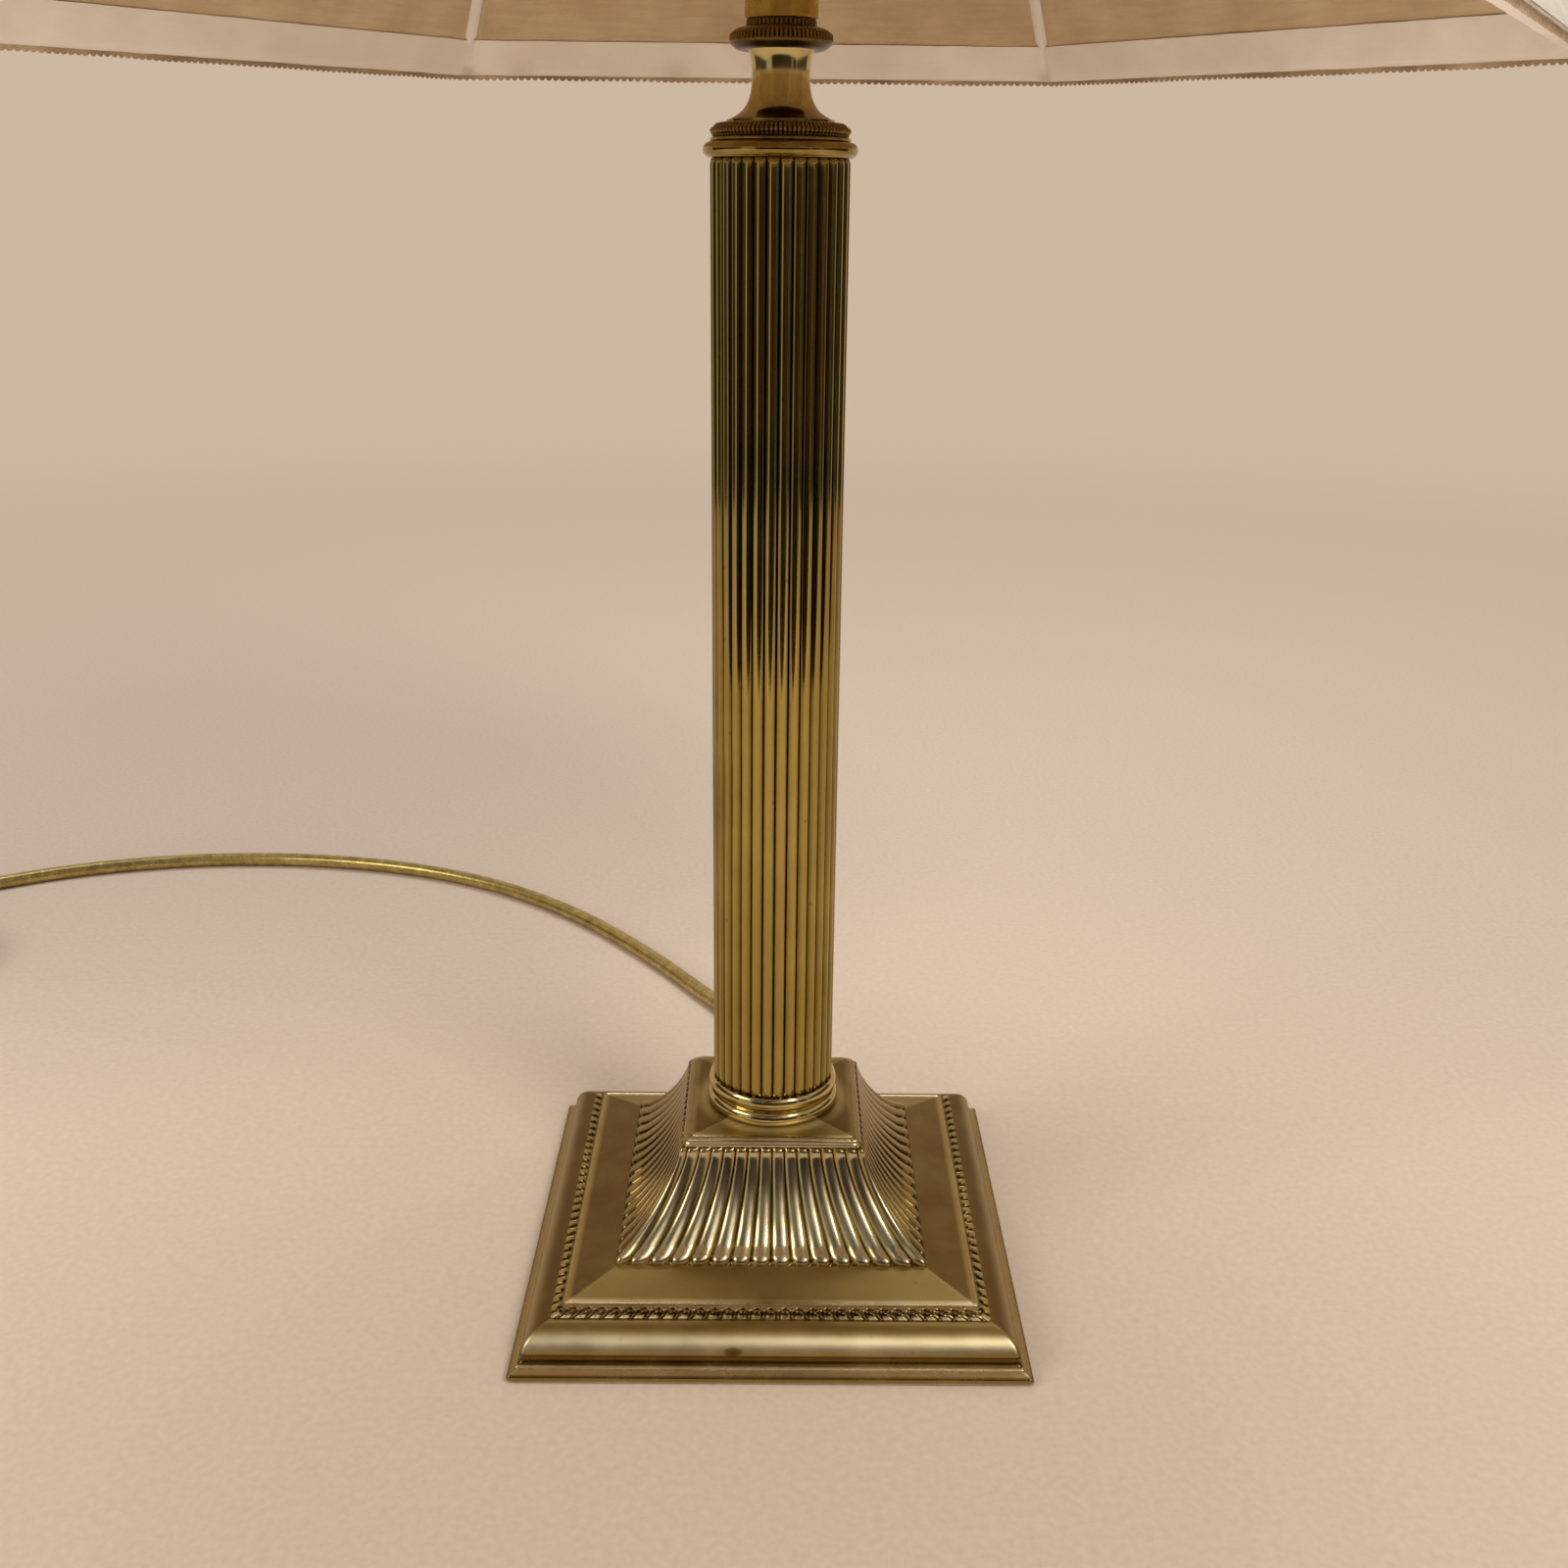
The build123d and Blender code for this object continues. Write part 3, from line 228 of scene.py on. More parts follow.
spun = brass(
    "spun lampholder brass",
    [(0.0, "#5A4A22"), (0.4, "#A08A48"), (0.8, "#CDB468"), (1.0, "#E0CC88")],
    (0.18, 0.32), 6.0, 0.18, 0.4, 0.006, even=0.65)
plated = brass(
    "brass plated wire",
    [(0.0, "#6B5222"), (0.5, "#B3984E"), (1.0, "#D8C070")],
    (0.16, 0.28), 8.0, 0.3, 0.4, 0.004, even=0.6)
print("brass finishes", len([m for m in bpy.data.materials if "brass" in m.name]))

# %% [markdown]
# ## Finishes: moulded, cast, glass and plain wire
# These are the pieces of a lamp that come off a shelf. Moulded plastic has a soft orange-peel
# skin, cast iron a coarse one, zinc plate a faint spangle. Each is one noise for the tone and one
# for the skin, at its real grain size. A constant such as IOR stays on the shader's own socket.

# %% Plain recipe
def plain(name, tones, rough, tone_mm, skin_mm, skin_depth_mm, metallic=0.0, **sockets):
    """A finish of one cloudy tone range and one fine skin."""
    material, tree, shader = finish(name)
    place = add(tree, "TexCoord", {})
    cloud = add(tree, "TexNoise", {"Scale": grains(tone_mm), "Detail": 5.0, "Roughness": 0.6},
                {"Vector": place.outputs["Object"]})
    tone = add(tree, "ValToRGB", {"stops": tones}, {"Fac": cloud.outputs["Fac"]})
    skin = add(tree, "TexNoise", {"Scale": grains(skin_mm), "Detail": 2.0},
               {"Vector": place.outputs["Object"]})
    bump = add(tree, "Bump", {"Strength": 1.0, "Distance": skin_depth_mm * MM},
               {"Height": skin.outputs["Fac"]})
    tree.links.new(tone.outputs["Color"], shader.inputs["Base Color"])
    tree.links.new(bump.outputs[0], shader.inputs["Normal"])
    shader.inputs["Roughness"].default_value = rough
    shader.inputs["Metallic"].default_value = metallic
    for socket, value in sockets.items():
        shader.inputs[socket.replace("_", " ")].default_value = value
    return material


# %% The shelf finishes
felt = plain("wool felt", [(0.35, "#0C0C0C"), (0.65, "#242220")], 0.95, 3.0, 0.5, 0.15)
zinc = plain("zinc plated steel", [(0.3, "#8F9090"), (0.7, "#C4C6C6")], 0.34, 3.0, 0.3, 0.004, 1.0)
iron = plain("raw cast iron", [(0.3, "#2B2A29"), (0.7, "#4A4846")], 0.62, 4.0, 0.9, 0.09, 0.8)
phenolic = plain("black phenolic moulding", [(0.3, "#0B0A09"), (0.7, "#17140F")], 0.28, 4.0,
                 0.6, 0.006, IOR=1.6)
bush_vinyl = plain("gold brown vinyl", [(0.3, "#6E5A2C"), (0.7, "#8C743A")], 0.45, 3.0, 0.5, 0.01)
core_vinyl = plain("core vinyl", [(0.3, "#3C2A1C"), (0.7, "#5B4028")], 0.5, 2.0, 0.3, 0.004)
plug_urea = plain("white urea moulding", [(0.3, "#DAD7CE"), (0.7, "#E8E6DE")], 0.32, 8.0, 0.7,
                  0.006, IOR=1.55)
pin_brass = plain("bare pin brass", [(0.3, "#B79A55"), (0.7, "#D6BC78")], 0.26, 3.0, 0.3, 0.003,
                  1.0)
bulb_aluminium = plain("bright aluminium", [(0.3, "#BDBDBB"), (0.7, "#D8D8D6")], 0.25, 2.5, 0.3,
                       0.004, 1.0)
vitrite = plain("black glass insulator", [(0.3, "#08080A"), (0.7, "#141417")], 0.12, 2.0, 0.4,
                0.002)
pearl = plain("pearl glass", [(0.3, "#F6F4EE"), (0.7, "#FFFEFA")], 0.38, 20.0, 0.3, 0.002,
              IOR=1.5, Transmission_Weight=0.92)
stem_glass = plain("clear stem glass", [(0.3, "#F4F6F4"), (0.7, "#FFFFFF")], 0.05, 8.0, 0.5, 0.001,
                   IOR=1.5, Transmission_Weight=1.0)
tungsten = plain("tungsten wire", [(0.3, "#4A4A4C"), (0.7, "#6C6C6E")], 0.4, 1.0, 0.2, 0.002, 1.0)
coated = plain("cream coated wire", [(0.3, "#D8CDBB"), (0.7, "#E6DDCB")], 0.45, 4.0, 0.5, 0.01)
print("materials so far", len(bpy.data.materials))

# %% [markdown]
# ## Finishes: the flex
# The flex is round vinyl with metal powder in it, so it glints like metal but stays soft at its
# edges. The powder is finer than a pixel, so its sparkle is drawn 0.5 mm coarse to show at all.

# %% Gold flex
gold_vinyl, tree, shader = finish("gold metallic vinyl")
place = add(tree, "TexCoord", {})
powder = add(tree, "TexVoronoi", {"Scale": grains(0.5)}, {"Vector": place.outputs["Object"]})
cloud = add(tree, "TexNoise", {"Scale": grains(5.0), "Detail": 4.0},
            {"Vector": place.outputs["Object"]})
both = add(tree, "Mix", {"data_type": "RGBA", 0: 0.35},
           {6: cloud.outputs["Fac"], 7: powder.outputs["Color"]}).outputs[2]
tone = add(tree, "ValToRGB", {"stops": [(0.25, "#8A7742"), (0.55, "#BBA664"), (0.8, "#DCCB92")]},
           {"Fac": both})
bump = add(tree, "Bump", {"Strength": 1.0, "Distance": 0.012 * MM}, {"Height": both})
tree.links.new(tone.outputs["Color"], shader.inputs["Base Color"])
tree.links.new(bump.outputs[0], shader.inputs["Normal"])
shader.inputs["Metallic"].default_value = 0.85
shader.inputs["Roughness"].default_value = 0.3
print(gold_vinyl.name)

# %% [markdown]
# ## Finishes: silk, tape and braid
# Slub silk is woven from threads that swell here and there, so it shows short thick streaks
# along the weave over a fine grid. Both come from the piece's own UV map, whose unit is the
# metre, so that the weave follows each panel round the six sides. The threads of the cloth are
# about 0.3 mm apart, which no pixel here can show, so the grid is drawn 0.8 mm apart. Light goes
# through silk, which a little subsurface scattering gives, and old glue shows as a stain value.

# %% Cloth recipe
CLOUD_MM, CREASE_MM, CREASE_SLANT, GLOW_DEPTH_MM = 30.0, 11.0, radians(24), 3.0


def cloth(name, tones, slub_mm, slub_share, thread_mm, depth_mm, sheen, rough=0.8, creases=0.0,
          glow=0.0, stain=None):
    """Woven cloth: slubs along U, a thread grid, creases, light through it, stains by value."""
    material, tree, shader = finish(name)
    place = add(tree, "TexCoord", {})
    stretch = add(tree, "Mapping", {"Scale": (0.12, 1.0, 1.0)}, {"Vector": place.outputs["UV"]})
    slub = add(tree, "TexNoise", {"Scale": grains(slub_mm), "Detail": 4.0, "Roughness": 0.7},
               {"Vector": stretch})
    cloud = add(tree, "TexNoise", {"Scale": grains(CLOUD_MM), "Detail": 4.0},
                {"Vector": place.outputs["UV"]})
    both = add(tree, "Math", {"operation": "MULTIPLY_ADD", 1: slub_share},
               {0: slub.outputs["Fac"], 2: cloud.outputs["Fac"]})
    centred = add(tree, "Math", {"operation": "SUBTRACT", 1: slub_share / 2}, {0: both})
    tone = add(tree, "ValToRGB", {"stops": tones}, {"Fac": centred})
    weft = add(tree, "TexWave", {"bands_direction": "Y", "Scale": bands(thread_mm),
                                 "Distortion": 0.6}, {"Vector": place.outputs["UV"]})
    warp = add(tree, "TexWave", {"bands_direction": "X", "Scale": bands(thread_mm),
                                 "Distortion": 0.6}, {"Vector": place.outputs["UV"]})
    grid = add(tree, "Math", {"operation": "MULTIPLY"},
               {0: weft.outputs["Fac"], 1: warp.outputs["Fac"]})
    thick = add(tree, "Math", {"operation": "MULTIPLY_ADD", 1: 1.4},
                {0: slub.outputs["Fac"], 2: grid})
    bump = add(tree, "Bump", {"Strength": 1.0, "Distance": depth_mm * MM}, {"Height": thick})
    normal = bump
    if creases:
        slant = add(tree, "Mapping", {"Rotation": (0, 0, CREASE_SLANT), "Scale": (0.2, 1.0, 1.0)},
                    {"Vector": place.outputs["UV"]})
        fold = add(tree, "TexNoise", {"Scale": grains(CREASE_MM), "Detail": 2.0, "Roughness": 0.4},
                   {"Vector": slant})
        normal = add(tree, "Bump", {"Strength": 1.0, "Distance": creases * MM},
                     {"Height": fold.outputs["Fac"], "Normal": bump})
    colour = tone.outputs["Color"]
    if stain:
        where = add(tree, "Attribute", {"attribute_name": "stain"})
        colour = add(tree, "Mix", {"data_type": "RGBA", 7: linear(stain)},
                     {0: where.outputs["Fac"], 6: colour}).outputs[2]
    tree.links.new(colour, shader.inputs["Base Color"])
    tree.links.new(normal.outputs[0], shader.inputs["Normal"])
    shader.inputs["Roughness"].default_value = rough
    shader.inputs["Sheen Weight"].default_value = sheen
    shader.inputs["Sheen Roughness"].default_value = 0.4
    shader.inputs["Subsurface Weight"].default_value = glow
    shader.inputs["Subsurface Radius"].default_value = (1.0, 1.0, 1.0)
    shader.inputs["Subsurface Scale"].default_value = GLOW_DEPTH_MM * MM
    return material


# %% The cloth finishes
lining_silk = cloth("tan slub silk", [(0.15, "#AA8E6C"), (0.5, "#BCA07C"), (0.85, "#CEB692")],
                    2.2, 0.6, 0.8, 0.05, 0.25, creases=1.2, glow=0.5)
cover_silk = cloth("white slub silk", [(0.2, "#E0DCD3"), (0.5, "#E6E2DA"), (0.85, "#ECE9E1")],
                   2.0, 0.9, 0.8, 0.08, 0.5, rough=0.55, creases=0.4, glow=0.5)
cream_tape = cloth("cream cotton tape", [(0.3, "#CDC2B4"), (0.55, "#D6CCC0"), (0.8, "#DFD6CB")],
                   1.0, 0.25, 0.6, 0.03, 0.1, stain="#7C5630")
white_braid = cloth("white rayon braid", [(0.3, "#C9C5BC"), (0.55, "#E0DDD5"), (0.8, "#F0EEE8")],
                    0.8, 0.4, 0.5, 0.06, 0.4, rough=0.5)
picot_tape = cloth("aged picot tape", [(0.3, "#7A644A"), (0.55, "#A18A6B"), (0.8, "#C2AD90")],
                   0.8, 0.5, 0.5, 0.05, 0.1)
print("materials", len(bpy.data.materials))

# %% [markdown]
# ## Building meshes
# Nearly every piece is a grid of points: an outline repeated round an axis, round a square or
# round a hexagon. An outline is written as the members of a moulding, as a cabinet maker names
# them: how far each runs, how far it rises and how far it bulges. Numbers here are millimetres.

# %% Outline and grid helpers
def outline(start, members):
    """Points of a moulding. A member is (run in, rise, bulge, steps)."""
    points = [start]
    for run, rise, bulge, steps in members:
        (x, z), chord = points[-1], hypot(run, rise)
        half_angle = 2 * atan(2 * abs(bulge) / chord)
        radius = chord / 2 / sin(half_angle) if bulge else 0.0
        for step in range(1, steps + 1):
            share, stand = step / steps, 0.0
            if bulge:
                angle = (2 * share - 1) * half_angle
                share = 0.5 + radius * sin(angle) / chord
                stand = radius * (cos(angle) - cos(half_angle)) * (1 if bulge > 0 else -1)
            points.append((x - run * share + stand * rise / chord,
                           z + rise * share + stand * run / chord))
    return points


def grid_faces(rows, columns, wrap_rows=False, wrap_columns=True):
    """Quads of a grid whose points are listed row by row."""
    faces = []
    for row in range(rows if wrap_rows else rows - 1):
        above = (row + 1) % rows
        for column in range(columns if wrap_columns else columns - 1):
            right = (column + 1) % columns
            faces.append((row * columns + column, row * columns + right,
                          above * columns + right, above * columns + column))
    return faces


print("a quarter round", [tuple(round(v, 2) for v in p) for p in outline((5, 0), [(2, 2, 0.6, 3)])])

# %% A piece from points
CRISP_DEGREES = 38


def piece(name, points, faces, material, body, replaced=(), wear=None, uv=None):
    """A mesh from points in millimetres, shaded and finished, riding on its body."""
    mesh = bpy.data.meshes.new(name)
    mesh.from_pydata((np.asarray(points, float) * MM).tolist(), [], faces)
    mesh.shade_smooth()
    mesh.set_sharp_from_angle(angle=radians(CRISP_DEGREES))
    if wear is not None:
        attribute = mesh.attributes.new("wear", "FLOAT", "POINT")
        attribute.data.foreach_set("value", np.asarray(wear, np.float32).ravel())
    if uv is not None:
        layer, flat = mesh.uv_layers.new(name="UVMap"), np.asarray(uv, float).reshape(-1, 2)
        for loop in mesh.loops:
            layer.data[loop.index].uv = flat[loop.vertex_index] * MM
    mesh.materials.append(material)
    made = put_in_scene(name, mesh)
    if replaced:
        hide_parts(*replaced)
    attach(made, body)
    print(name, len(mesh.vertices), "points")
    return made


# %% [markdown]
# ## The flex and its coil
# The flex leaves a tapered bush at the back of the base, curves round to the left across the
# table, as in the photograph, and what the photograph doesn't show is wound into a neat coil just
# outside the view, with the plug on its tail. It is one smooth NURBS line through listed control
# points, because real flex has no corners, and a round bevel gives it its thickness.

# %% Route of the flex
FLEX_RADIUS, FLEX_FLOOR = 3.25, 3.3
FLEX_ROUTE = [
    (0, 99, 9), (0, 126, 9), (-22, 158, 3.3), (-55, 208, 3.3), (-98, 259, 3.3), (-150, 298, 3.3),
    (-212, 319, 3.3), (-280, 324, 3.3), (-345, 311, 3.3), (-397, 284, 3.3), (-437, 252, 3.3),
    (-458.5, 227.6, 3.3),
]
COIL_CENTRE, COIL_HEADING = Vector((-407, 186, FLEX_FLOOR)), radians(294)
COIL_OUTER, COIL_STEP, COIL_LAYER = 46.0, 3.5, 7.0
HALF_TURNS = [-1] * 5 + [0] + [1] * 4
LEAD, BEFORE_LEAD, TAIL = 6.5, 27.0, 50.0
HALF_TURN_POINTS = 8
# A NURBS line of this order runs inside its control points by this share on a circle.
INSIDE = (3 + cos(pi / HALF_TURN_POINTS)) / 4


def coil_points():
    """Control points of the coil: spiral in, climb, spiral out, tail."""
    along = Vector((cos(COIL_HEADING), sin(COIL_HEADING), 0))
    side = Vector((along.y, -along.x, 0))
    at = COIL_CENTRE + side * COIL_OUTER
    points = [at - along * (LEAD + BEFORE_LEAD), at - along * LEAD]
    radius = COIL_OUTER
    for step in HALF_TURNS:
        middle = at - side * radius
        for index in range(HALF_TURN_POINTS):
            angle = pi * (index + 0.5) / HALF_TURN_POINTS
            rise = COIL_LAYER * (index + 0.5) / HALF_TURN_POINTS if step == 0 else 0.0
            out = side * cos(angle) + along * sin(angle)
            points.append(middle + out * radius / INSIDE + Vector((0, 0, rise)))
        at = middle - side * radius + Vector((0, 0, COIL_LAYER if step == 0 else 0))
        side, along = -side, -along
        radius += COIL_STEP if step >= 0 else -COIL_STEP
    return points + [at + along * TAIL / 2, at + along * TAIL]


def spline_piece(name, points, radius, material):
    """A NURBS line through control points in millimetres, with a round section."""
    curve = bpy.data.curves.new(name, "CURVE")
    curve.dimensions = "3D"
    line = curve.splines.new("NURBS")
    line.points.add(len(points) - 1)
    for control, point in zip(line.points, points):
        control.co = (*(Vector(point) * MM), 1.0)
    line.order_u = 3
    line.use_endpoint_u = True
    line.resolution_u = 8
    curve.bevel_depth = radius * MM
    curve.bevel_resolution = 5
    curve.use_fill_caps = True
    curve.materials.append(material)
    return put_in_scene(name, curve)


# %% Lay the flex
route = [Vector(point) for point in FLEX_ROUTE] + coil_points()
flex = spline_piece("flex", route, FLEX_RADIUS, gold_vinyl)
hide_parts("cord", "cord_coil")
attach(flex, "lamp")
print("flex control points", len(flex.data.splines[0].points))

# %% [markdown]
# ## The pressed base
# One die pressed the base from sheet brass: a foot with a cove, a rounded shoulder, a band of
# small scallops, a sloping panel, and hollow sides carved into reeds that swell towards their
# rounded tips. Sixteen reeds show on each side, and the outer two wrap round the corners. The
# four sides are one grid each, mitred at the corners, and the carving is a height added along
# the outline's own normal. The scallops are gouged cups: each has a round head, a steep wall
# under it and a level floor. The same height gives the wear, because polishing rubs what stands
# out. Painted light is added to that value: painted shade on each cup's wall and a painted
# highlight on its floor, a painted highlight along the bottom of the lip and on the shoulder's
# belly, a level for each member that is partly a painted reflection of what it mirrors, and
# painted shade that makes the sides and back darker than the front. The shoulder, panel and
# platform were brushed, so they are satin.

# %% Base outline
BASE_HALF, BASE_LIFT = 77.0, 0.8
BASE_MEMBERS = [
    ("lip", 0.0, 2.0, 0.3, 8), ("bevel", 2.4, 0.9, 0.0, 3), ("bead", 0.1, 0.8, 0.4, 6),
    ("cove", 1.2, 3.0, -0.5, 8), ("quirk", -0.3, 0.0, 0.0, 1), ("shoulder", 8.1, 6.7, 1.9, 30),
    ("scallops", 3.5, 1.9, 0.0, 18), ("fillet", 0.0, 0.8, 0.0, 2),
    ("fillet top", 1.0, 0.0, 0.2, 3), ("panel", 13.5, 3.1, 0.0, 8),
    ("reeds", 19.7, 29.7, -2.8, 66), ("rim", 1.3, 1.7, 0.5, 8), ("step", 1.3, 0.8, 0.25, 4),
    ("platform", 11.8, 0.0, 0.0, 8),
]
REEDS, SCALLOPS, COLUMNS = 15, 30, 241
CORNERS = {"reeds": 1.5, "rim": 2.6, "step": 3.0, "platform": 3.0, "shoulder": 1.2}
# Each member's level: partly its wear, partly a painted reflection of what that member mirrors.
MEMBER_WEAR_AND_SHINE = {"lip": 0.5, "bevel": 0.9, "bead": 1.0, "cove": 0.3, "quirk": 0.1, "shoulder": 0.46,
               "scallops": 0.2, "fillet": 0.85, "fillet top": 1.0, "panel": 0.56, "reeds": 0.2,
               "rim": 0.85, "step": 0.7, "platform": 0.48}
MEMBER_SATIN = {"shoulder": 0.22, "panel": 0.24, "platform": 0.3, "reeds": 0.0}
PLAIN_CORNER, PLAIN_SATIN = 0.9, 0.06
# Painted shade on the base: how bright each side is against the front, in the order front, right,
# back, left.
PAINTED_SIDE_SHADE = (1.0, 0.6, 0.85, 0.6)
base_line = outline((BASE_HALF, BASE_LIFT), [member[1:] for member in BASE_MEMBERS])
row_member = [BASE_MEMBERS[0][0]]
row_member += [member[0] for member in BASE_MEMBERS for _ in range(member[4])]
print("outline rows", len(base_line), "top", [round(v, 2) for v in base_line[-1]])


# %% Carving
REED_WIDTH, REED_HEAD = 0.97, 0.8      # how full a reed is across, and how long its upper end is
REED_RISE, REED_SINK = 0.27, 0.1       # shares of the reeds' pitch
EASE_LOW, EASE_HIGH = 6.0, 3.0         # mm over which the valleys sink in at both ends
CUP_WIDTH, CUP_SPRING, CUP_HEAD = 0.94, 0.38, 0.52     # its width, its head's start and rise
CUP_WALL, CUP_ROUNDING = 0.3, 0.7      # how wide and how round a scallop's wall is
CUP_EDGE, CUP_FALL = 0.45, 0.52        # a scallop's rim in mm, and how steeply its floor drops
# A painted highlight on the shoulder's belly: its middle and its spread.
SHOULDER_HIGHLIGHT, SHOULDER_HIGHLIGHT_SPREAD = 0.34, 0.26       # the brightest part of the shoulder, as shares of its way
HALO_RADIUS, HALO_WIDTH = 22.0, 3.5    # the rubbed ring round the column's foot
# Along this many mm at the bottom of the lip a painted highlight is drawn.
LIP_HIGHLIGHT_EDGE = 0.5


def reed_height(across, along, half, full):
    """Height of a reed, from 0 to 1: round across, and round at both its ends."""
    side = (across - round(across)) * 2
    ahead = max(0.0, 1 - along / half, 1 - (full - along) / (half * REED_HEAD))
    return sqrt(max(0.0, 1 - (REED_WIDTH * side) ** 2 - ahead ** 2))


def scallop_cup(across, up):
    """How far a point is inside a gouged cup with a round head, from 0 to 1."""
    side = (across - round(across)) * 2
    share = (1 - hypot(side / CUP_WIDTH, max(0.0, up - CUP_SPRING) / CUP_HEAD)) / CUP_WALL
    return min(1.0, max(0.0, share)) ** CUP_ROUNDING


# %% One side of the base
def arc_lengths(line):
    """Distance along an outline at each of its points."""
    steps = [hypot(b[0] - a[0], b[1] - a[1]) for a, b in zip(line, line[1:])]
    return [0.0] + list(np.cumsum(steps))


def base_grid():
    """Points of one side, its front facing -Y, with their values of wear and painted light."""
    way = arc_lengths(base_line)
    first = {name: row_member.index(name) for name in MEMBER_WEAR_AND_SHINE}
    last = {name: len(row_member) - 1 - row_member[::-1].index(name) for name in MEMBER_WEAR_AND_SHINE}
    points, wear = [], []
    for row, ((half, height), member) in enumerate(zip(base_line, row_member)):
        before, after = base_line[max(row - 1, 0)], base_line[min(row + 1, len(base_line) - 1)]
        run, rise = after[0] - before[0], after[1] - before[1]
        length = hypot(run, rise)
        out, up = rise / length, -run / length
        start = way[first[member] - 1] if first[member] else 0.0
        along, full = way[row] - start, way[last[member]] - start
        corner = CORNERS.get(member, PLAIN_CORNER)
        for column in range(COLUMNS):
            share = 2 * column / (COLUMNS - 1) - 1
            lift, shine = 0.0, MEMBER_WEAR_AND_SHINE[member]
            if member == "reeds":
                pitch = 2 * half / REEDS
                crest = reed_height((share + 1) / 2 * REEDS, along, pitch / 2, full)
                ease = min(1.0, along / EASE_LOW, (full - along) / EASE_HIGH)
                lift = pitch * (REED_RISE * crest - REED_SINK * ease)
                shine = 0.3 + 0.56 * crest
            elif member == "shoulder":
                # Painted highlight on the shoulder's belly.
                shine += 0.46 * exp(-((along / full - SHOULDER_HIGHLIGHT) / SHOULDER_HIGHLIGHT_SPREAD) ** 2)
            elif member == "lip" and along < LIP_HIGHLIGHT_EDGE:
                # Painted highlight along the lip's bottom edge.
                shine = 1.0
            elif member == "scallops":
                cup = scallop_cup((share + 1) / 2 * SCALLOPS, along / full)
                lift = CUP_EDGE - CUP_FALL * along * cup
                # Painted shade on each cup's wall and a painted highlight on its floor.
                shine = 0.35 + (0.55 if cup > 0.9 else -0.3 if cup > 0.02 else 0.35)
            elif member == "platform":
                far_off = abs(hypot(share * half, half) - HALO_RADIUS)
                shine += 0.45 * max(0.0, 1 - far_off / HALO_WIDTH)
            a, z = half + lift * out, height + lift * up
            reach = abs(share) * a
            bend = max(0.0, reach - (a - corner)) / corner * pi / 4
            x = reach if bend == 0 else a - corner + corner * sin(bend)
            y = a if bend == 0 else a - corner + corner * cos(bend)
            points.append((x * (1 if share > 0 else -1), -y, z))
            wear.append(shine)
    return np.array(points), wear


# %% Four sides
side, side_wear_and_shine = base_grid()
side_faces = grid_faces(len(base_line), COLUMNS, wrap_columns=False)
# A drop of old polish has dried brown on the front shoulder.
DROP_X, DROP_Z, DROP_HALF_WIDTH, DROP_HALF_HEIGHT = -11.0, 8.8, 2.9, 1.3
drop = [max(0.0, 1 - hypot((x - DROP_X) / DROP_HALF_WIDTH, (z - DROP_Z) / DROP_HALF_HEIGHT) ** 2)
        for x, y, z in side]
# Painted shade: the values of the right, back and left sides are scaled down, so those sides come
# out darker than the front.
base_wear_and_shine = [value * polish for polish in PAINTED_SIDE_SHADE for value in side_wear_and_shine]
base_wear_and_shine[:len(side)] = [value - 0.36 * sqrt(brown) for value, brown in zip(side_wear_and_shine, drop)]
points, faces = [], []
for quarter in range(4):
    spin = np.array(Matrix.Rotation(quarter * pi / 2, 3, "Z"))
    points.append(side @ spin.T)
    faces += [tuple(index + quarter * len(side) for index in face) for face in side_faces]
base = piece("pressed_base", np.concatenate(points), faces, antiqued, "lamp",
             ["base_shell"], base_wear_and_shine)

# %% Satin of the base
row_satin = [MEMBER_SATIN.get(member, PLAIN_SATIN) for member in row_member]
satin = base.data.attributes.new("satin", "FLOAT", "POINT")
satin.data.foreach_set("value", np.tile(np.repeat(row_satin, COLUMNS), 4).astype(np.float32))
print("satin from", min(row_satin), "to", max(row_satin))

# %% [markdown]
# The four sides meet at their mitres as separate grids, so a Weld modifier joins their edge
# points, and a Solidify modifier gives the sheet its thickness, so that nobody looking from below
# finds a surface without one.

# %% Join the sides
WELD_REACH, BASE_WALL = 0.01, 1.0
weld = base.modifiers.new("weld", "WELD")
weld.merge_threshold = WELD_REACH * MM
wall = base.modifiers.new("wall", "SOLIDIFY")
wall.thickness = BASE_WALL * MM
wall.offset = -1.0
print("base", [round(v, 4) for v in base.dimensions])

# %% [markdown]
# ## Turned pieces
# The foot ring, the column's cap, the neck and the lampholder were turned or spun, so each is an
# outline swept round the lamp's axis. Where a tool has cut flutes or knurls, the radius gets a
# small wave round the piece, and its wear follows that wave. A piece that old polish has crept
# into from below is browner there. All are bored for the rod that ties the lamp together.

# %% Turned helper
def turned(name, line, material, replaced, segments=144, waves=0, depth=0.0, where=(0, 0),
           wear=0.7, round_share=1.0, brown=(-1.0, 0.0)):
    """An outline of (radius, height) round the axis, waved between two heights, browner below."""
    points, shine = [], []
    for radius, height in line:
        cut = depth if waves and where[0] <= height <= where[1] else 0.0
        fade = min(1.0, max(0.0, (height - brown[0]) / (brown[1] - brown[0])))
        for index in range(segments):
            angle = 2 * pi * index / segments
            crest = abs(cos(angle * waves / 2)) ** round_share if cut else 1.0
            r = radius - cut * (1 - crest)
            points.append((r * cos(angle), r * sin(angle), height))
            shine.append(wear * (crest if cut else 1.0) * (0.35 + 0.65 * fade))
    faces = grid_faces(len(line), segments)
    return piece(name, points, faces, material, "lamp", replaced, shine)


def inwards(line, bore):
    """Close an outline against its bore at both ends."""
    return [(bore, line[0][1])] + line + [(bore, line[-1][1])]


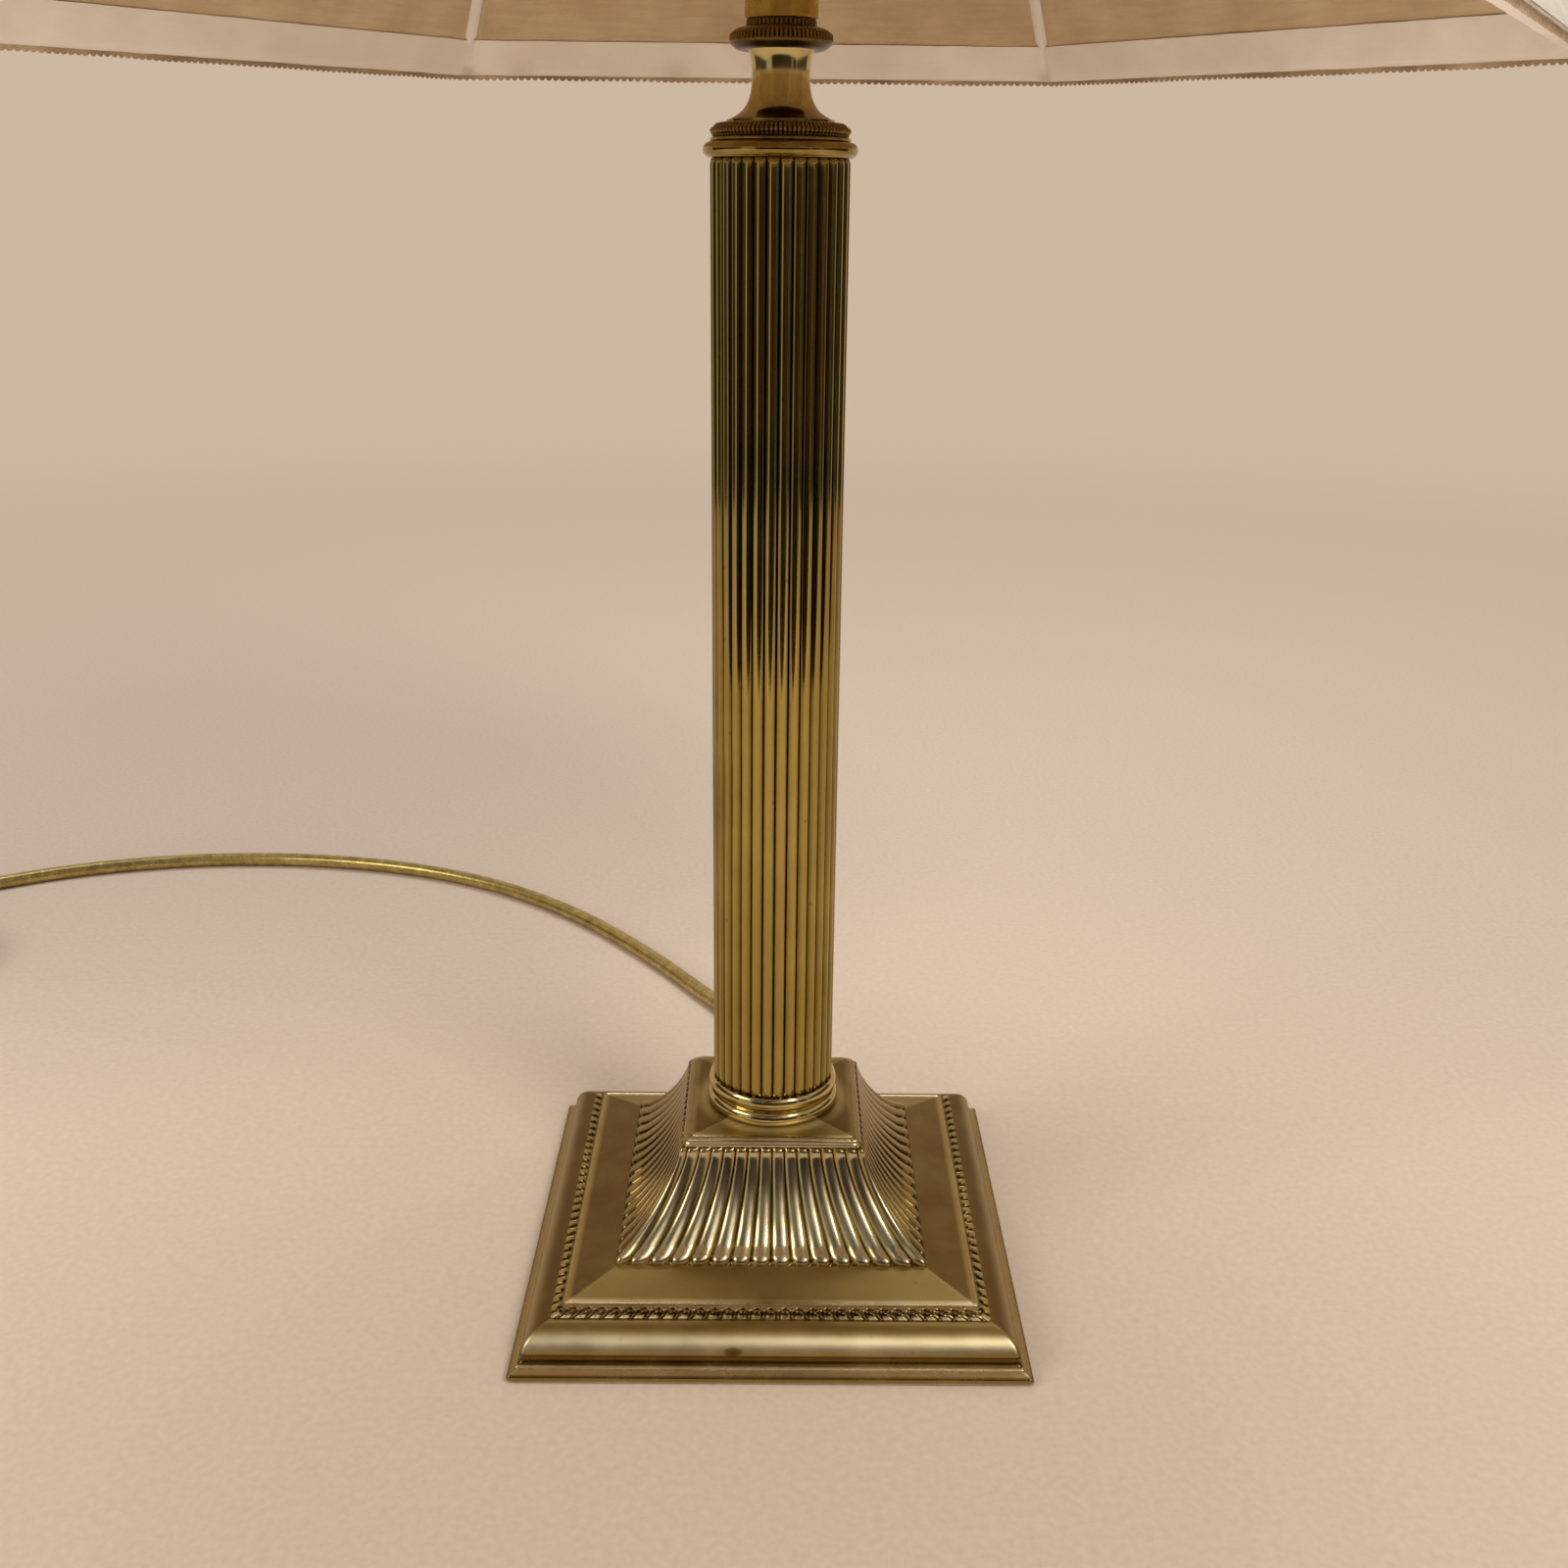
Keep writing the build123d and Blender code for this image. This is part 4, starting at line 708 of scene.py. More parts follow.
PLATFORM, ROD_BORE, LOCK_BORE = 52.2, 5.2, 5.05
foot_line = outline((19.9, PLATFORM), [
    (0, 4.4, 1.1, 14), (0.9, 0.0, 0.0, 1), (0, 0.8, 0, 1), (-0.5, 0, 0, 1), (0, 4.3, 1.0, 14)])
turned("foot_ring", inwards(foot_line, ROD_BORE), polished, ["column_ring"])

# %% [markdown]
# ## The reeded column
# The tube was drawn through a die with thirty-two hollows, so every reed is the same arc and the
# valleys between are sharp. Drawn metal keeps faint lines along its length. The reeds end in
# small rounded tips at the foot and under the cap.

# %% Column
COLUMN_LOW, COLUMN_HIGH, CREST, VALLEY = 61.7, 338.1, 19.0, 18.1
REED_COUNT, PER_REED, TIP_LENGTH, TIP_FALL = 32, 14, 2.0, 0.75


def column_grid():
    """Points of the reeded tube, outside only, with their values of wear and painted shade."""
    chord = 2 * VALLEY * sin(pi / REED_COUNT)
    sagitta = CREST - VALLEY * cos(pi / REED_COUNT)
    arc_radius = (chord ** 2 / 4 + sagitta ** 2) / 2 / sagitta
    centre = CREST - arc_radius
    ends = [0.0, 0.25, 0.5, 0.9, 1.4, 2.0, 3.0, 6.0]
    heights = [COLUMN_LOW + e for e in ends]
    heights += list(np.linspace(COLUMN_LOW + 20, COLUMN_HIGH - 20, 12))
    heights += [COLUMN_HIGH - e for e in ends[::-1]]
    points, wear = [], []
    for height in heights:
        from_end = min(height - COLUMN_LOW, COLUMN_HIGH - height)
        tip = max(0.0, 1 - from_end / TIP_LENGTH)
        round_off = TIP_FALL * (1 - sqrt(max(0.0, 1 - tip ** 2)))
        for index in range(REED_COUNT * PER_REED):
            share = (index % PER_REED) / PER_REED
            turn = (share - 0.5) * 2 * pi / REED_COUNT
            r = centre * cos(turn) + sqrt(arc_radius ** 2 - (centre * sin(turn)) ** 2)
            crest = (r - VALLEY) / (CREST - VALLEY)
            angle = 2 * pi * index / (REED_COUNT * PER_REED)
            r -= round_off * crest
            points.append((r * cos(angle), r * sin(angle), height))
            # Painted shade: reeds facing the sides are darker than those facing front and back, and
            # the valleys darker than the crests. The last fraction of a millimetre at each rounded
            # tip is darker too.
            painted_side_shade = 0.72 + 0.28 * sin(angle) ** 2
            wear.append(painted_side_shade * (0.1 + 0.62 * crest ** 0.7) - 0.25 * (round_off > 0.2))
    return points, wear, len(heights)


points, shine, rows = column_grid()
piece("reeded_column", points, grid_faces(rows, REED_COUNT * PER_REED), drawn,
      "lamp", ["column_tube"], shine)

# %% [markdown]
# ## Cap, beaded ring, neck and knurled rings
# Above the column sit five turned pieces. The cap is a plain torus. The ring on it is beaded, and
# the one under the lampholder is knurled so that fingers can grip it, as its small lock ring is.
# The neck between them is a trumpet, drawn as a smooth line through a few listed points.

# %% Cap and beaded ring
cap_line = outline((19.6, COLUMN_HIGH), [
    (-0.2, 0.2, 0.0, 1), (0.3, 3.7, 1.3, 16), (0.9, 0.1, 0.0, 1), (-0.2, 0.1, 0.0, 1),
    (0.3, 0.9, 0.4, 8)])
turned("column_cap", inwards(cap_line, ROD_BORE), polished, ["collar"], wear=0.44)

BEADED_LOW, NECK_LOW = 343.1, 346.8
beaded_line = outline((17.7, BEADED_LOW), [
    (-0.6, 0.35, 0.0, 2), (0.0, 0.45, 0.15, 4), (-0.4, 0.3, 0.0, 2), (0.6, 1.5, 0.5, 8),
    (1.9, 1.1, 0.35, 5)])
turned("beaded_ring_dressed", inwards(beaded_line, ROD_BORE), knurled,
       ["beaded_ring"], segments=576, waves=96, depth=0.55,
       where=(BEADED_LOW + 0.3, BEADED_LOW + 3.4), wear=0.75, round_share=0.6)

# %% Trumpet neck
neck_line = [(14.6, NECK_LOW), (14.6, NECK_LOW + 0.7), (13.9, NECK_LOW + 0.75)]
NECK_POINTS = [(13.4, 347.9), (11.9, 348.7), (10.4, 349.8), (9.2, 351.4), (8.3, 353.5),
               (7.9, 355.8), (7.7, 358.4), (7.8, 360.9), (8.2, 363.0), (8.8, 364.7)]


def smooth_line(points, steps=5):
    """Catmull-Rom points through a given outline."""
    ends = [points[0]] + points + [points[-1]]
    made = []
    for a, b, c, d in zip(ends, ends[1:], ends[2:], ends[3:]):
        for step in range(steps):
            t = step / steps
            made.append(tuple(0.5 * (2 * q + (r - p) * t + (2 * p - 5 * q + 4 * r - s) * t * t
                                     + (3 * q - p - 3 * r + s) * t ** 3)
                              for p, q, r, s in zip(a, b, c, d)))
    return made + [points[-1]]


turned("trumpet_neck", inwards(neck_line + smooth_line(NECK_POINTS), ROD_BORE), polished,
       ["neck"], brown=(NECK_LOW, NECK_LOW + 4.0))

# %% Knurled ring and lock ring
KNURL_LOW = 364.7
knurl_line = outline((9.4, KNURL_LOW), [
    (-3.4, 0.9, 0.5, 6), (-0.9, 1.1, 0.2, 4), (0.1, 0.9, 0.1, 3), (0.6, 1.2, 0.3, 5),
    (1.9, 1.1, 0.2, 4)])
turned("knurled_collar", inwards(knurl_line, ROD_BORE), knurled, ["knurled_ring"],
       segments=432, waves=72, depth=0.6, where=(KNURL_LOW + 2.2, KNURL_LOW + 4.2), wear=0.7,
       round_share=0.6, brown=(KNURL_LOW + 1.0, KNURL_LOW + 2.4))

LOCK_LOW = 369.9
lock_line = outline((8.9, LOCK_LOW), [(-0.4, 0.4, 0.0, 2), (0.0, 1.4, 0.0, 3), (0.4, 0.4, 0.0, 2)])
turned("reeded_lock_ring", inwards(lock_line, LOCK_BORE), knurled, ["lock_ring"],
       segments=288, waves=48, depth=0.4, where=(LOCK_LOW + 0.3, LOCK_LOW + 1.9), wear=0.6,
       round_share=0.6)

# %% [markdown]
# ## Contact springs
# Behind each contact plunger sits a coil spring of hard steel wire, which shortens as the bulb
# presses the plunger in. Each spring is swept along a helix here, in the box of the CAD spring
# that it replaces.

# %% Springs
SPRING_WIRE, SPRING_TURNS, STEPS_A_TURN, WIRE_SIDES, PLUNGER_TRAVEL = 0.35, 4, 24, 8, 2.0
for end in ("front", "back"):
    node = "plunger_spring_" + end
    low, high = (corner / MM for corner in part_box(node))
    middle, coil_radius = (low + high) / 2, (high.x - low.x) / 2 - SPRING_WIRE
    steps = SPRING_TURNS * STEPS_A_TURN
    points = []
    for step in range(steps + 1):
        angle = 2 * pi * step / STEPS_A_TURN
        climb = low.z + SPRING_WIRE + (high.z - low.z - 2 * SPRING_WIRE) * step / steps
        for side_step in range(WIRE_SIDES):
            around = 2 * pi * side_step / WIRE_SIDES
            r = coil_radius + SPRING_WIRE * cos(around)
            points.append((middle.x + r * cos(angle), middle.y + r * sin(angle),
                           climb + SPRING_WIRE * sin(around)))
    faces = grid_faces(steps + 1, WIRE_SIDES)
    faces += [tuple(range(WIRE_SIDES))[::-1],
              tuple(range(steps * WIRE_SIDES, (steps + 1) * WIRE_SIDES))]
    spring = piece("contact_spring_" + end, points, faces, zinc, "lamp", [node])
    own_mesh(spring)

# %% [markdown]
# ## The shade
# A wire frame of two hexagons and six curved struts is covered twice: white silk outside, tan silk
# inside. Cream tape binds the inside of the rim and wraps the struts, a white braid hides the
# outer seams, and a toothed picot tape hangs below the rim. Each is a grid carried round a
# hexagon whose half width follows the frame's hollow curve. The whole shade hangs on a gimbal: it
# hangs low at the front by less than two degrees, is turned by about one, and its bent frame
# stands 5 mm to one side of its hub.

# %% Shade geometry
RIM, SHADE_HEIGHT, RIM_CORNER, TOP_CORNER, FLARE = 366.4, 230.0, 227.0, 80.0, 2500.0
LEAN, TURN, PIVOT, SHIFT = radians(1.7), radians(1.2), 564.7, -5.0
TOP = RIM + SHADE_HEIGHT
LINING_INSET, LINING_WALL = 6.2, 0.8
HANG = (Matrix.Translation((0, 0, PIVOT)) @ Matrix.Rotation(LEAN, 4, "X")
        @ Matrix.Translation((SHIFT, 0, -PIVOT)) @ Matrix.Rotation(TURN, 4, "Z"))


def flare(height):
    """Half the width of the shade across its flats at a height."""
    low, high = RIM_CORNER * cos(pi / 6), TOP_CORNER * cos(pi / 6)
    run, chord = low - high, hypot(low - high, SHADE_HEIGHT)
    stand = sqrt(FLARE ** 2 - (chord / 2) ** 2) / chord
    x, z = (low + high) / 2 + stand * SHADE_HEIGHT, RIM + SHADE_HEIGHT / 2 + stand * run
    return x - sqrt(FLARE ** 2 - (height - z) ** 2)


def hung(points):
    """Level points turned and leaned as the shade hangs."""
    turn, shift = np.array(HANG.to_3x3()), np.array(HANG.translation)
    return np.asarray(points, float) @ turn.T + shift


print("half the shade across its flats: rim", round(flare(RIM), 2), "top", round(flare(TOP), 2))

# %% Panel helper
GORE_PITCH = 240.0      # mm along the weave from one side's middle to the next


def panels(name, rows, columns, material, replaced, relief=None):
    """A grid round the six sides. Rows are (half width, height); relief moves a point in mm."""
    lengths = arc_lengths(rows)
    points, uv = [], []
    for row, (half, height) in enumerate(rows):
        for k in range(6):
            angle = pi / 6 + k * pi / 3
            out, tangent = (cos(angle), sin(angle)), (-sin(angle), cos(angle))
            for column in range(columns):
                share = 2 * column / columns - 1
                more, drop = relief(k, share, row, half, height) if relief else (0.0, 0.0)
                a = half + more
                reach = share * a * tan(pi / 6)
                points.append((a * out[0] + reach * tangent[0],
                               a * out[1] + reach * tangent[1], height + drop))
                uv.append((k * GORE_PITCH + (share * half * tan(pi / 6)), lengths[row]))
    faces = grid_faces(len(rows), 6 * columns, wrap_rows=True)
    return piece(name, hung(points), faces, material, "shade", replaced, uv=uv)


def wall_rows(inset, wall, low, high, count):
    """Rows up the outside of a thin wall and down its inside."""
    heights = list(np.linspace(low, high, count))
    return ([(flare(z) - inset, z) for z in heights]
            + [(flare(z) - inset - wall, z) for z in heights[::-1]])


# %% Cover and lining
BAND_HIGH, TOP_LOW, EASE_IN = 11.0, TOP - 7.0, 30.0


def slack(depth, crease, seed):
    """Relief of stretched silk: flat under tapes, drawn in between wires, softly creased."""
    def relief(k, share, row, half, height):
        up = (height - RIM) / SHADE_HEIGHT
        free = min(1.0, (height - RIM - BAND_HIGH - 0.5) / EASE_IN, (TOP_LOW - height) / EASE_IN)
        span = (1 - share ** 4) * sin(pi / 2 * max(0.0, free))
        place = Vector((share * half * 0.012 + k * 7.0 + up * 2.2, up * 5.5 - share * 1.3, seed))
        return -span * (depth + crease * noise.noise(place)), 0.0
    return relief


cover = panels("silk_cover", wall_rows(0.2, 0.7, RIM, TOP, 40), 40, cover_silk,
               ["shade_cover"], slack(1.0, 1.0, 3.0))
lining = panels("silk_lining", wall_rows(LINING_INSET + 0.2, 0.5, RIM + 0.3, TOP - 6.0, 44), 44,
                lining_silk, ["shade_lining"], slack(0.8, 1.2, 8.0))

# %% [markdown]
# ## Tape and picot on the rim
# Cotton tape folds round the rim from the lining to the cover, and a second one binds the top. It
# was laid by hand, so it cockles, and old glue has stained it. The picot below it is a woven edge
# of round teeth, worn away in places, so its height is a wave that noise wears down.

# %% Rim tape
INNER = LINING_INSET + LINING_WALL
band_steps = (BAND_HIGH - 0.4, 8.0, 5.5, 3.0, 1.0)
band_rows = [(flare(RIM + z) - INNER - 0.4, RIM + z) for z in band_steps]
band_rows += [(flare(RIM) - INNER + 0.4, RIM - 0.35), (flare(RIM) - INNER / 2, RIM - 0.6),
              (flare(RIM) - 0.3, RIM - 0.6), (flare(RIM) - 0.1, RIM - 0.1),
              (flare(RIM) - INNER + 0.6, RIM - 0.05)]
band_rows += [(flare(RIM + z) - INNER - 0.1, RIM + z) for z in band_steps[::-1]]


def cockle(k, share, row, half, height):
    """Tape laid by hand cockles a little."""
    place = Vector((share * 6 + k * 11.0, height * 0.06, 1.0))
    return 0.25 * noise.noise(place), 0.12 * noise.noise(place * 2.3)


rim_tape = panels("rim_tape", band_rows, 90, cream_tape, ["rim_band"], cockle)

# %% Glue stains
# Each is a place, how far it reaches in mm, and how dark it is. Two sit at the far corners.
GLUE_STAINS = [(Vector((-108, 191, RIM + 1)), 4.0, 0.9), (Vector((-88, 189, RIM)), 7.0, 0.25),
               (Vector((-30, 189, RIM)), 6.0, 0.3), (Vector((108, 190, RIM + 1)), 3.5, 0.6)]
stain = rim_tape.data.attributes.new("stain", "FLOAT", "POINT")
for index, vertex in enumerate(rim_tape.data.vertices):
    unhung = HANG.inverted() @ (vertex.co / MM)
    stain.data[index].value = max(depth * max(0.0, 1 - (unhung - place).length / reach)
                                  for place, reach, depth in GLUE_STAINS)
print("stained points", sum(point.value > 0 for point in stain.data))

# %% Top tape and picot edge
top_rows = [(flare(TOP) - 0.2, TOP), (flare(TOP) - 0.2, TOP + 0.5),
            (flare(TOP) - INNER + 0.2, TOP + 0.5), (flare(TOP - 1) - INNER, TOP - 0.4),
            (flare(TOP - 6) - INNER + 0.5, TOP - 5.8), (flare(TOP - 6) - INNER + 0.7, TOP - 5.8),
            (flare(TOP - 1) - INNER + 0.6, TOP - 0.4)]
top_tape = panels("top_tape", top_rows, 12, cream_tape, ["top_band"])

PICOTS, PICOT_SAMPLES = 88, 6


def picot(k, share, row, half, height):
    """Round teeth along the lower edge, worn away in places."""
    if height > RIM - 1.5:
        return 0.0, 0.0
    tooth = abs(sin(pi * (share + 1) / 2 * PICOTS)) ** 0.8
    worn = 0.5 + 0.5 * noise.noise(Vector((share * 5.0 + k * 13.0, 0.5, 2.0)))
    stray = noise.noise(Vector((share * 60.0 + k * 31.0, 4.5, 2.0)))
    return 0.25 * stray, (1 - tooth) * (0.5 + 1.0 * worn) + 0.5 * worn


picot_rows = [(flare(RIM) - 0.3, RIM - 0.5), (flare(RIM) - 0.3, RIM - 2.6),
              (flare(RIM) - 0.8, RIM - 2.6), (flare(RIM) - 0.8, RIM - 0.5)]
picot_edge = panels("picot_edge", picot_rows, PICOTS * PICOT_SAMPLES, picot_tape,
                    ["rim_picot"], picot)

# %% [markdown]
# ## Braid on the outside
# The gimp braid is a flat plait of cord over cord. Its relief is two crossing waves, so each lobe
# stands proud of the last, at the real size of about 4 mm a lobe.

# %% Braid
LOBES, TOP_LOBES, LOBE_SAMPLES, BRAID_ROWS = 54, 19, 7, 9


def plait(k, share, row, half, height):
    """Two crossing waves of the braid."""
    along = (share + 1) / 2 * LOBES * pi
    return 0.3 * abs(sin(along + row * 0.8)) + 0.2 * abs(sin(along - row * 0.8)), 0.0


def braid_rows(low, high):
    """Rows up the outside of the braid and down its back."""
    heights = list(np.linspace(low, high, BRAID_ROWS))
    swell = [0.25 + 0.35 * sin(pi * i / (BRAID_ROWS - 1)) for i in range(BRAID_ROWS)]
    return ([(flare(z) + s, z) for z, s in zip(heights, swell)]
            + [(flare(high), high - 0.2), (flare(low), low + 0.2)])


rim_braid = panels("rim_braid", braid_rows(RIM - 0.5, RIM + 8.0), LOBES * LOBE_SAMPLES,
                   white_braid, ["rim_gimp"], plait)
top_braid = panels("top_braid", braid_rows(TOP - 8.0, TOP + 0.4), TOP_LOBES * LOBE_SAMPLES,
                   white_braid, ["top_gimp"], plait)

# %% [markdown]
# ## Strips down the corners
# Each strut is wrapped in tape inside the lining, and the braid covers the seam outside it. Both
# are the same half-round strip, drawn six times in one mesh, with its lobes only on the braid.

# %% Strips down the corners
STRIP_POINTS, STRIP_PITCH, THIN_END, STRIP_GAP, LOBE_LENGTH = 9, 20, 0.05, 0.25, 4.0


def strip(name, inset, low, high, count, half_width, rise, material, replaced, lobe=0.0,
          inside=False):
    """A rounded strip down each of the six corners, inside or outside, as one piece."""
    points, faces, uv = [], [], []
    for k in range(6):
        start = len(points)
        out, tangent = (cos(k * pi / 3), sin(k * pi / 3)), (-sin(k * pi / 3), cos(k * pi / 3))
        for row in range(count):
            z = low + (high - low) * row / (count - 1)
            taper = 1.0
            if inside:
                taper = sqrt(max(0.0, 1 - max(0.0, 1 - (z - low) / half_width) ** 2))
            corner = (flare(z) - inset) / cos(pi / 6)
            swell = 1 + lobe * abs(sin((z - low) * pi / LOBE_LENGTH))
            for index in range(STRIP_POINTS):
                angle = pi * index / (STRIP_POINTS - 1)
                offset = half_width * cos(angle) * max(taper, THIN_END)
                stand = rise * sin(angle) * swell * max(taper, THIN_END)
                r = corner + stand - abs(offset) * tan(pi / 6)
                if inside:
                    r = corner - stand - STRIP_GAP
                points.append((r * out[0] + offset * tangent[0],
                               r * out[1] + offset * tangent[1], z))
                uv.append((k * STRIP_PITCH + offset, z - low))
        made = grid_faces(count, STRIP_POINTS)
        faces += [tuple(index + start for index in face) for face in made]
        faces += [tuple(range(start + STRIP_POINTS - 1, start - 1, -1)),
                  tuple(range(start + (count - 1) * STRIP_POINTS, start + count * STRIP_POINTS))]
    return piece(name, hung(points), faces, material, "shade", replaced, uv=uv)


tapes = strip("strut_wraps", INNER, RIM + 8.5, TOP - 6.2, 60, 2.5, 1.9, cream_tape,
              ["strut_tapes"], inside=True)
corner_braid = strip("corner_braid", 0.0, RIM + 8.1, TOP - 8.1, 120, 2.6, 1.1, white_braid,
                     ["corner_gimp"], lobe=0.3)

# %% [markdown]
# ## How the silk was cut
# The cover and the lining were cut flat as six gores each and stretched on the frame. A gore is
# as wide as a side of the hexagon and as long as the curve from rim to top.


# %% [markdown]
# ## Finishes on the CAD pieces that stay
# The lampholder, the bulb, the wires and the plug already have their true shape, so they keep
# their own meshes and only take a finish.

# %% Dress the CAD pieces
DRESS = {
    felt: ["base_felt"],
    zinc: ["base_plate", "base_screws", "tie_rod", "rod_washer", "rod_nut", "neck_screw"],
    iron: ["base_weight"],
    bush_vinyl: ["cord_bush"],
    gold_vinyl: ["inner_flex"],
    core_vinyl: ["flex_cores"],
    spun: ["holder_cap", "holder_barrel", "union_ring"],
    phenolic: ["holder_insulator", "push_bar", "shade_nut"],
    pin_brass: ["plunger_front", "plunger_back", "plug_pins"],
    vitrite: ["bulb_base"],
    bulb_aluminium: ["bulb_cap"],
    pearl: ["bulb_glass"],
    stem_glass: ["bulb_stem"],
    tungsten: ["bulb_filament"],
    plated: ["carrier_ring", "carrier_plate", "carrier_arm_left", "carrier_arm_right", "shade_hub"],
    coated: ["gimbal_ring", "gimbal_arms", "shade_bottom_ring", "shade_top_ring", "shade_struts"],
    plug_urea: ["plug_cover", "plug_base"],
}
for material, names in DRESS.items():
    for name in names:
        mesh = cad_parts[name].data
        mesh.materials.clear()
        mesh.materials.append(material)
print("dressed", sum(len(names) for names in DRESS.values()), "CAD pieces")

# %% [markdown]
# ## The studio
# A pale table top that curves up into a wall all round. Soft lamps stand to the right, to the left,
# above and in front, and a weak one lies on the table and shines up, as a pale table throws light
# back under a shade. Polished brass is only as good as what it mirrors: in the photograph the
# column seems to mirror the table up to its straight edge, then the dark under and behind it, then
# the brown dusk of the room, with pale window light from the left. So flat cards stand at that
# edge and at both sides, which only reflections see, as a photographer's black and white cards do.
# Each reed bends the whole row of them into fine dark and light lines.

# %% Table finish
table_paint, tree, shader = finish("warm pale paper")
place = add(tree, "TexCoord", {})
fleck = add(tree, "TexNoise", {"Scale": grains(2.5), "Detail": 3.0},
            {"Vector": place.outputs["Object"]})
tone = add(tree, "ValToRGB", {"stops": [(0.3, "#D8C7B6"), (0.7, "#DFD0C0")]},
           {"Fac": fleck.outputs["Fac"]})
tree.links.new(tone.outputs["Color"], shader.inputs["Base Color"])
shader.inputs["Roughness"].default_value = 0.9
away = add(tree, "VectorMath", {"operation": "LENGTH"}, {0: place.outputs["Object"]})
far = add(tree, "MapRange", {"interpolation_type": "SMOOTHSTEP", "From Min": 0.5, "From Max": 2.2},
          {"Value": away.outputs["Value"]})
path = add(tree, "LightPath", {})
seen = add(tree, "Math", {"operation": "ADD"}, {0: path.outputs["Is Camera Ray"],
                                                1: path.outputs["Is Glossy Ray"]})
seen = add(tree, "Math", {"operation": "ADD", "use_clamp": True},
           {0: seen, 1: path.outputs["Is Transmission Ray"]})
share = add(tree, "Math", {"operation": "MULTIPLY"}, {0: far, 1: seen})
haze = add(tree, "Emission", {"Color": linear("#CDB8A2"), "Strength": 1.0})
both = add(tree, "MixShader", {}, {0: share, 1: shader, 2: haze})
tree.links.new(both.outputs[0], tree.nodes["Material Output"].inputs["Surface"])
print(table_paint.name)

# %% Table and wall
FLOOR_RADIUS, WALL_RADIUS, WALL_TOP = 2600.0, 4000.0, 3600.0
SWEEP_STEPS, AROUND = 12, 96
sweep_line = [(1.0, 0.0), (400.0, 0.0), (1500.0, 0.0), (FLOOR_RADIUS, 0.0)]
rise = WALL_RADIUS - FLOOR_RADIUS
for step in range(1, SWEEP_STEPS + 1):
    angle = pi / 2 * step / SWEEP_STEPS
    sweep_line.append((FLOOR_RADIUS + rise * sin(angle), rise * (1 - cos(angle))))
sweep_line.append((WALL_RADIUS, WALL_TOP))
points = [(r * cos(2 * pi * i / AROUND), r * sin(2 * pi * i / AROUND), z)
          for r, z in sweep_line for i in range(AROUND)]
mesh = bpy.data.meshes.new("table")
mesh.from_pydata((np.array(points) * MM).tolist(), [], grid_faces(len(sweep_line), AROUND)
                 + [tuple(range(AROUND - 1, -1, -1))])
mesh.shade_smooth()
mesh.materials.append(table_paint)
put_in_scene("table", mesh)
print("table", len(mesh.vertices), "points")


# %% Lamps and world
def lamp(name, place, size, power, colour="#FFFFFF", at=(0, 0, 0.25)):
    """A square soft lamp aimed at a point."""
    light = bpy.data.lights.new(name, "AREA")
    light.size, light.energy, light.color = size, power, linear(colour)[:3]
    made = put_in_scene(name, light)
    made.location = place
    made.rotation_euler = (Vector(at) - Vector(place)).to_track_quat("-Z", "Y").to_euler()
    return made


lamp("key", (1.0, -1.5, 1.7), 0.7, 26.0, "#FFF6EA")
lamp("fill", (-1.6, -0.9, 1.2), 0.9, 14.0, "#FFF8F0")
lamp("top", (0.1, 0.9, 2.1), 1.4, 18.0, "#FFFFFF")
lamp("front", (0.0, -2.3, 0.3), 1.2, 16.0, "#FFF6EA").visible_glossy = False
bounce = lamp("table bounce", (0.0, -0.4, 0.012), 0.5, 1.9, "#FFF8F0", at=(0, -0.4, 1.0))
bounce.visible_glossy = bounce.visible_camera = False

world = bpy.data.worlds.new("studio")
world.use_nodes = True
world.node_tree.nodes["Background"].inputs["Color"].default_value = linear("#D8D2CA")
world.node_tree.nodes["Background"].inputs["Strength"].default_value = 0.4
bpy.context.scene.world = world
print("lamps", len(bpy.data.lights))


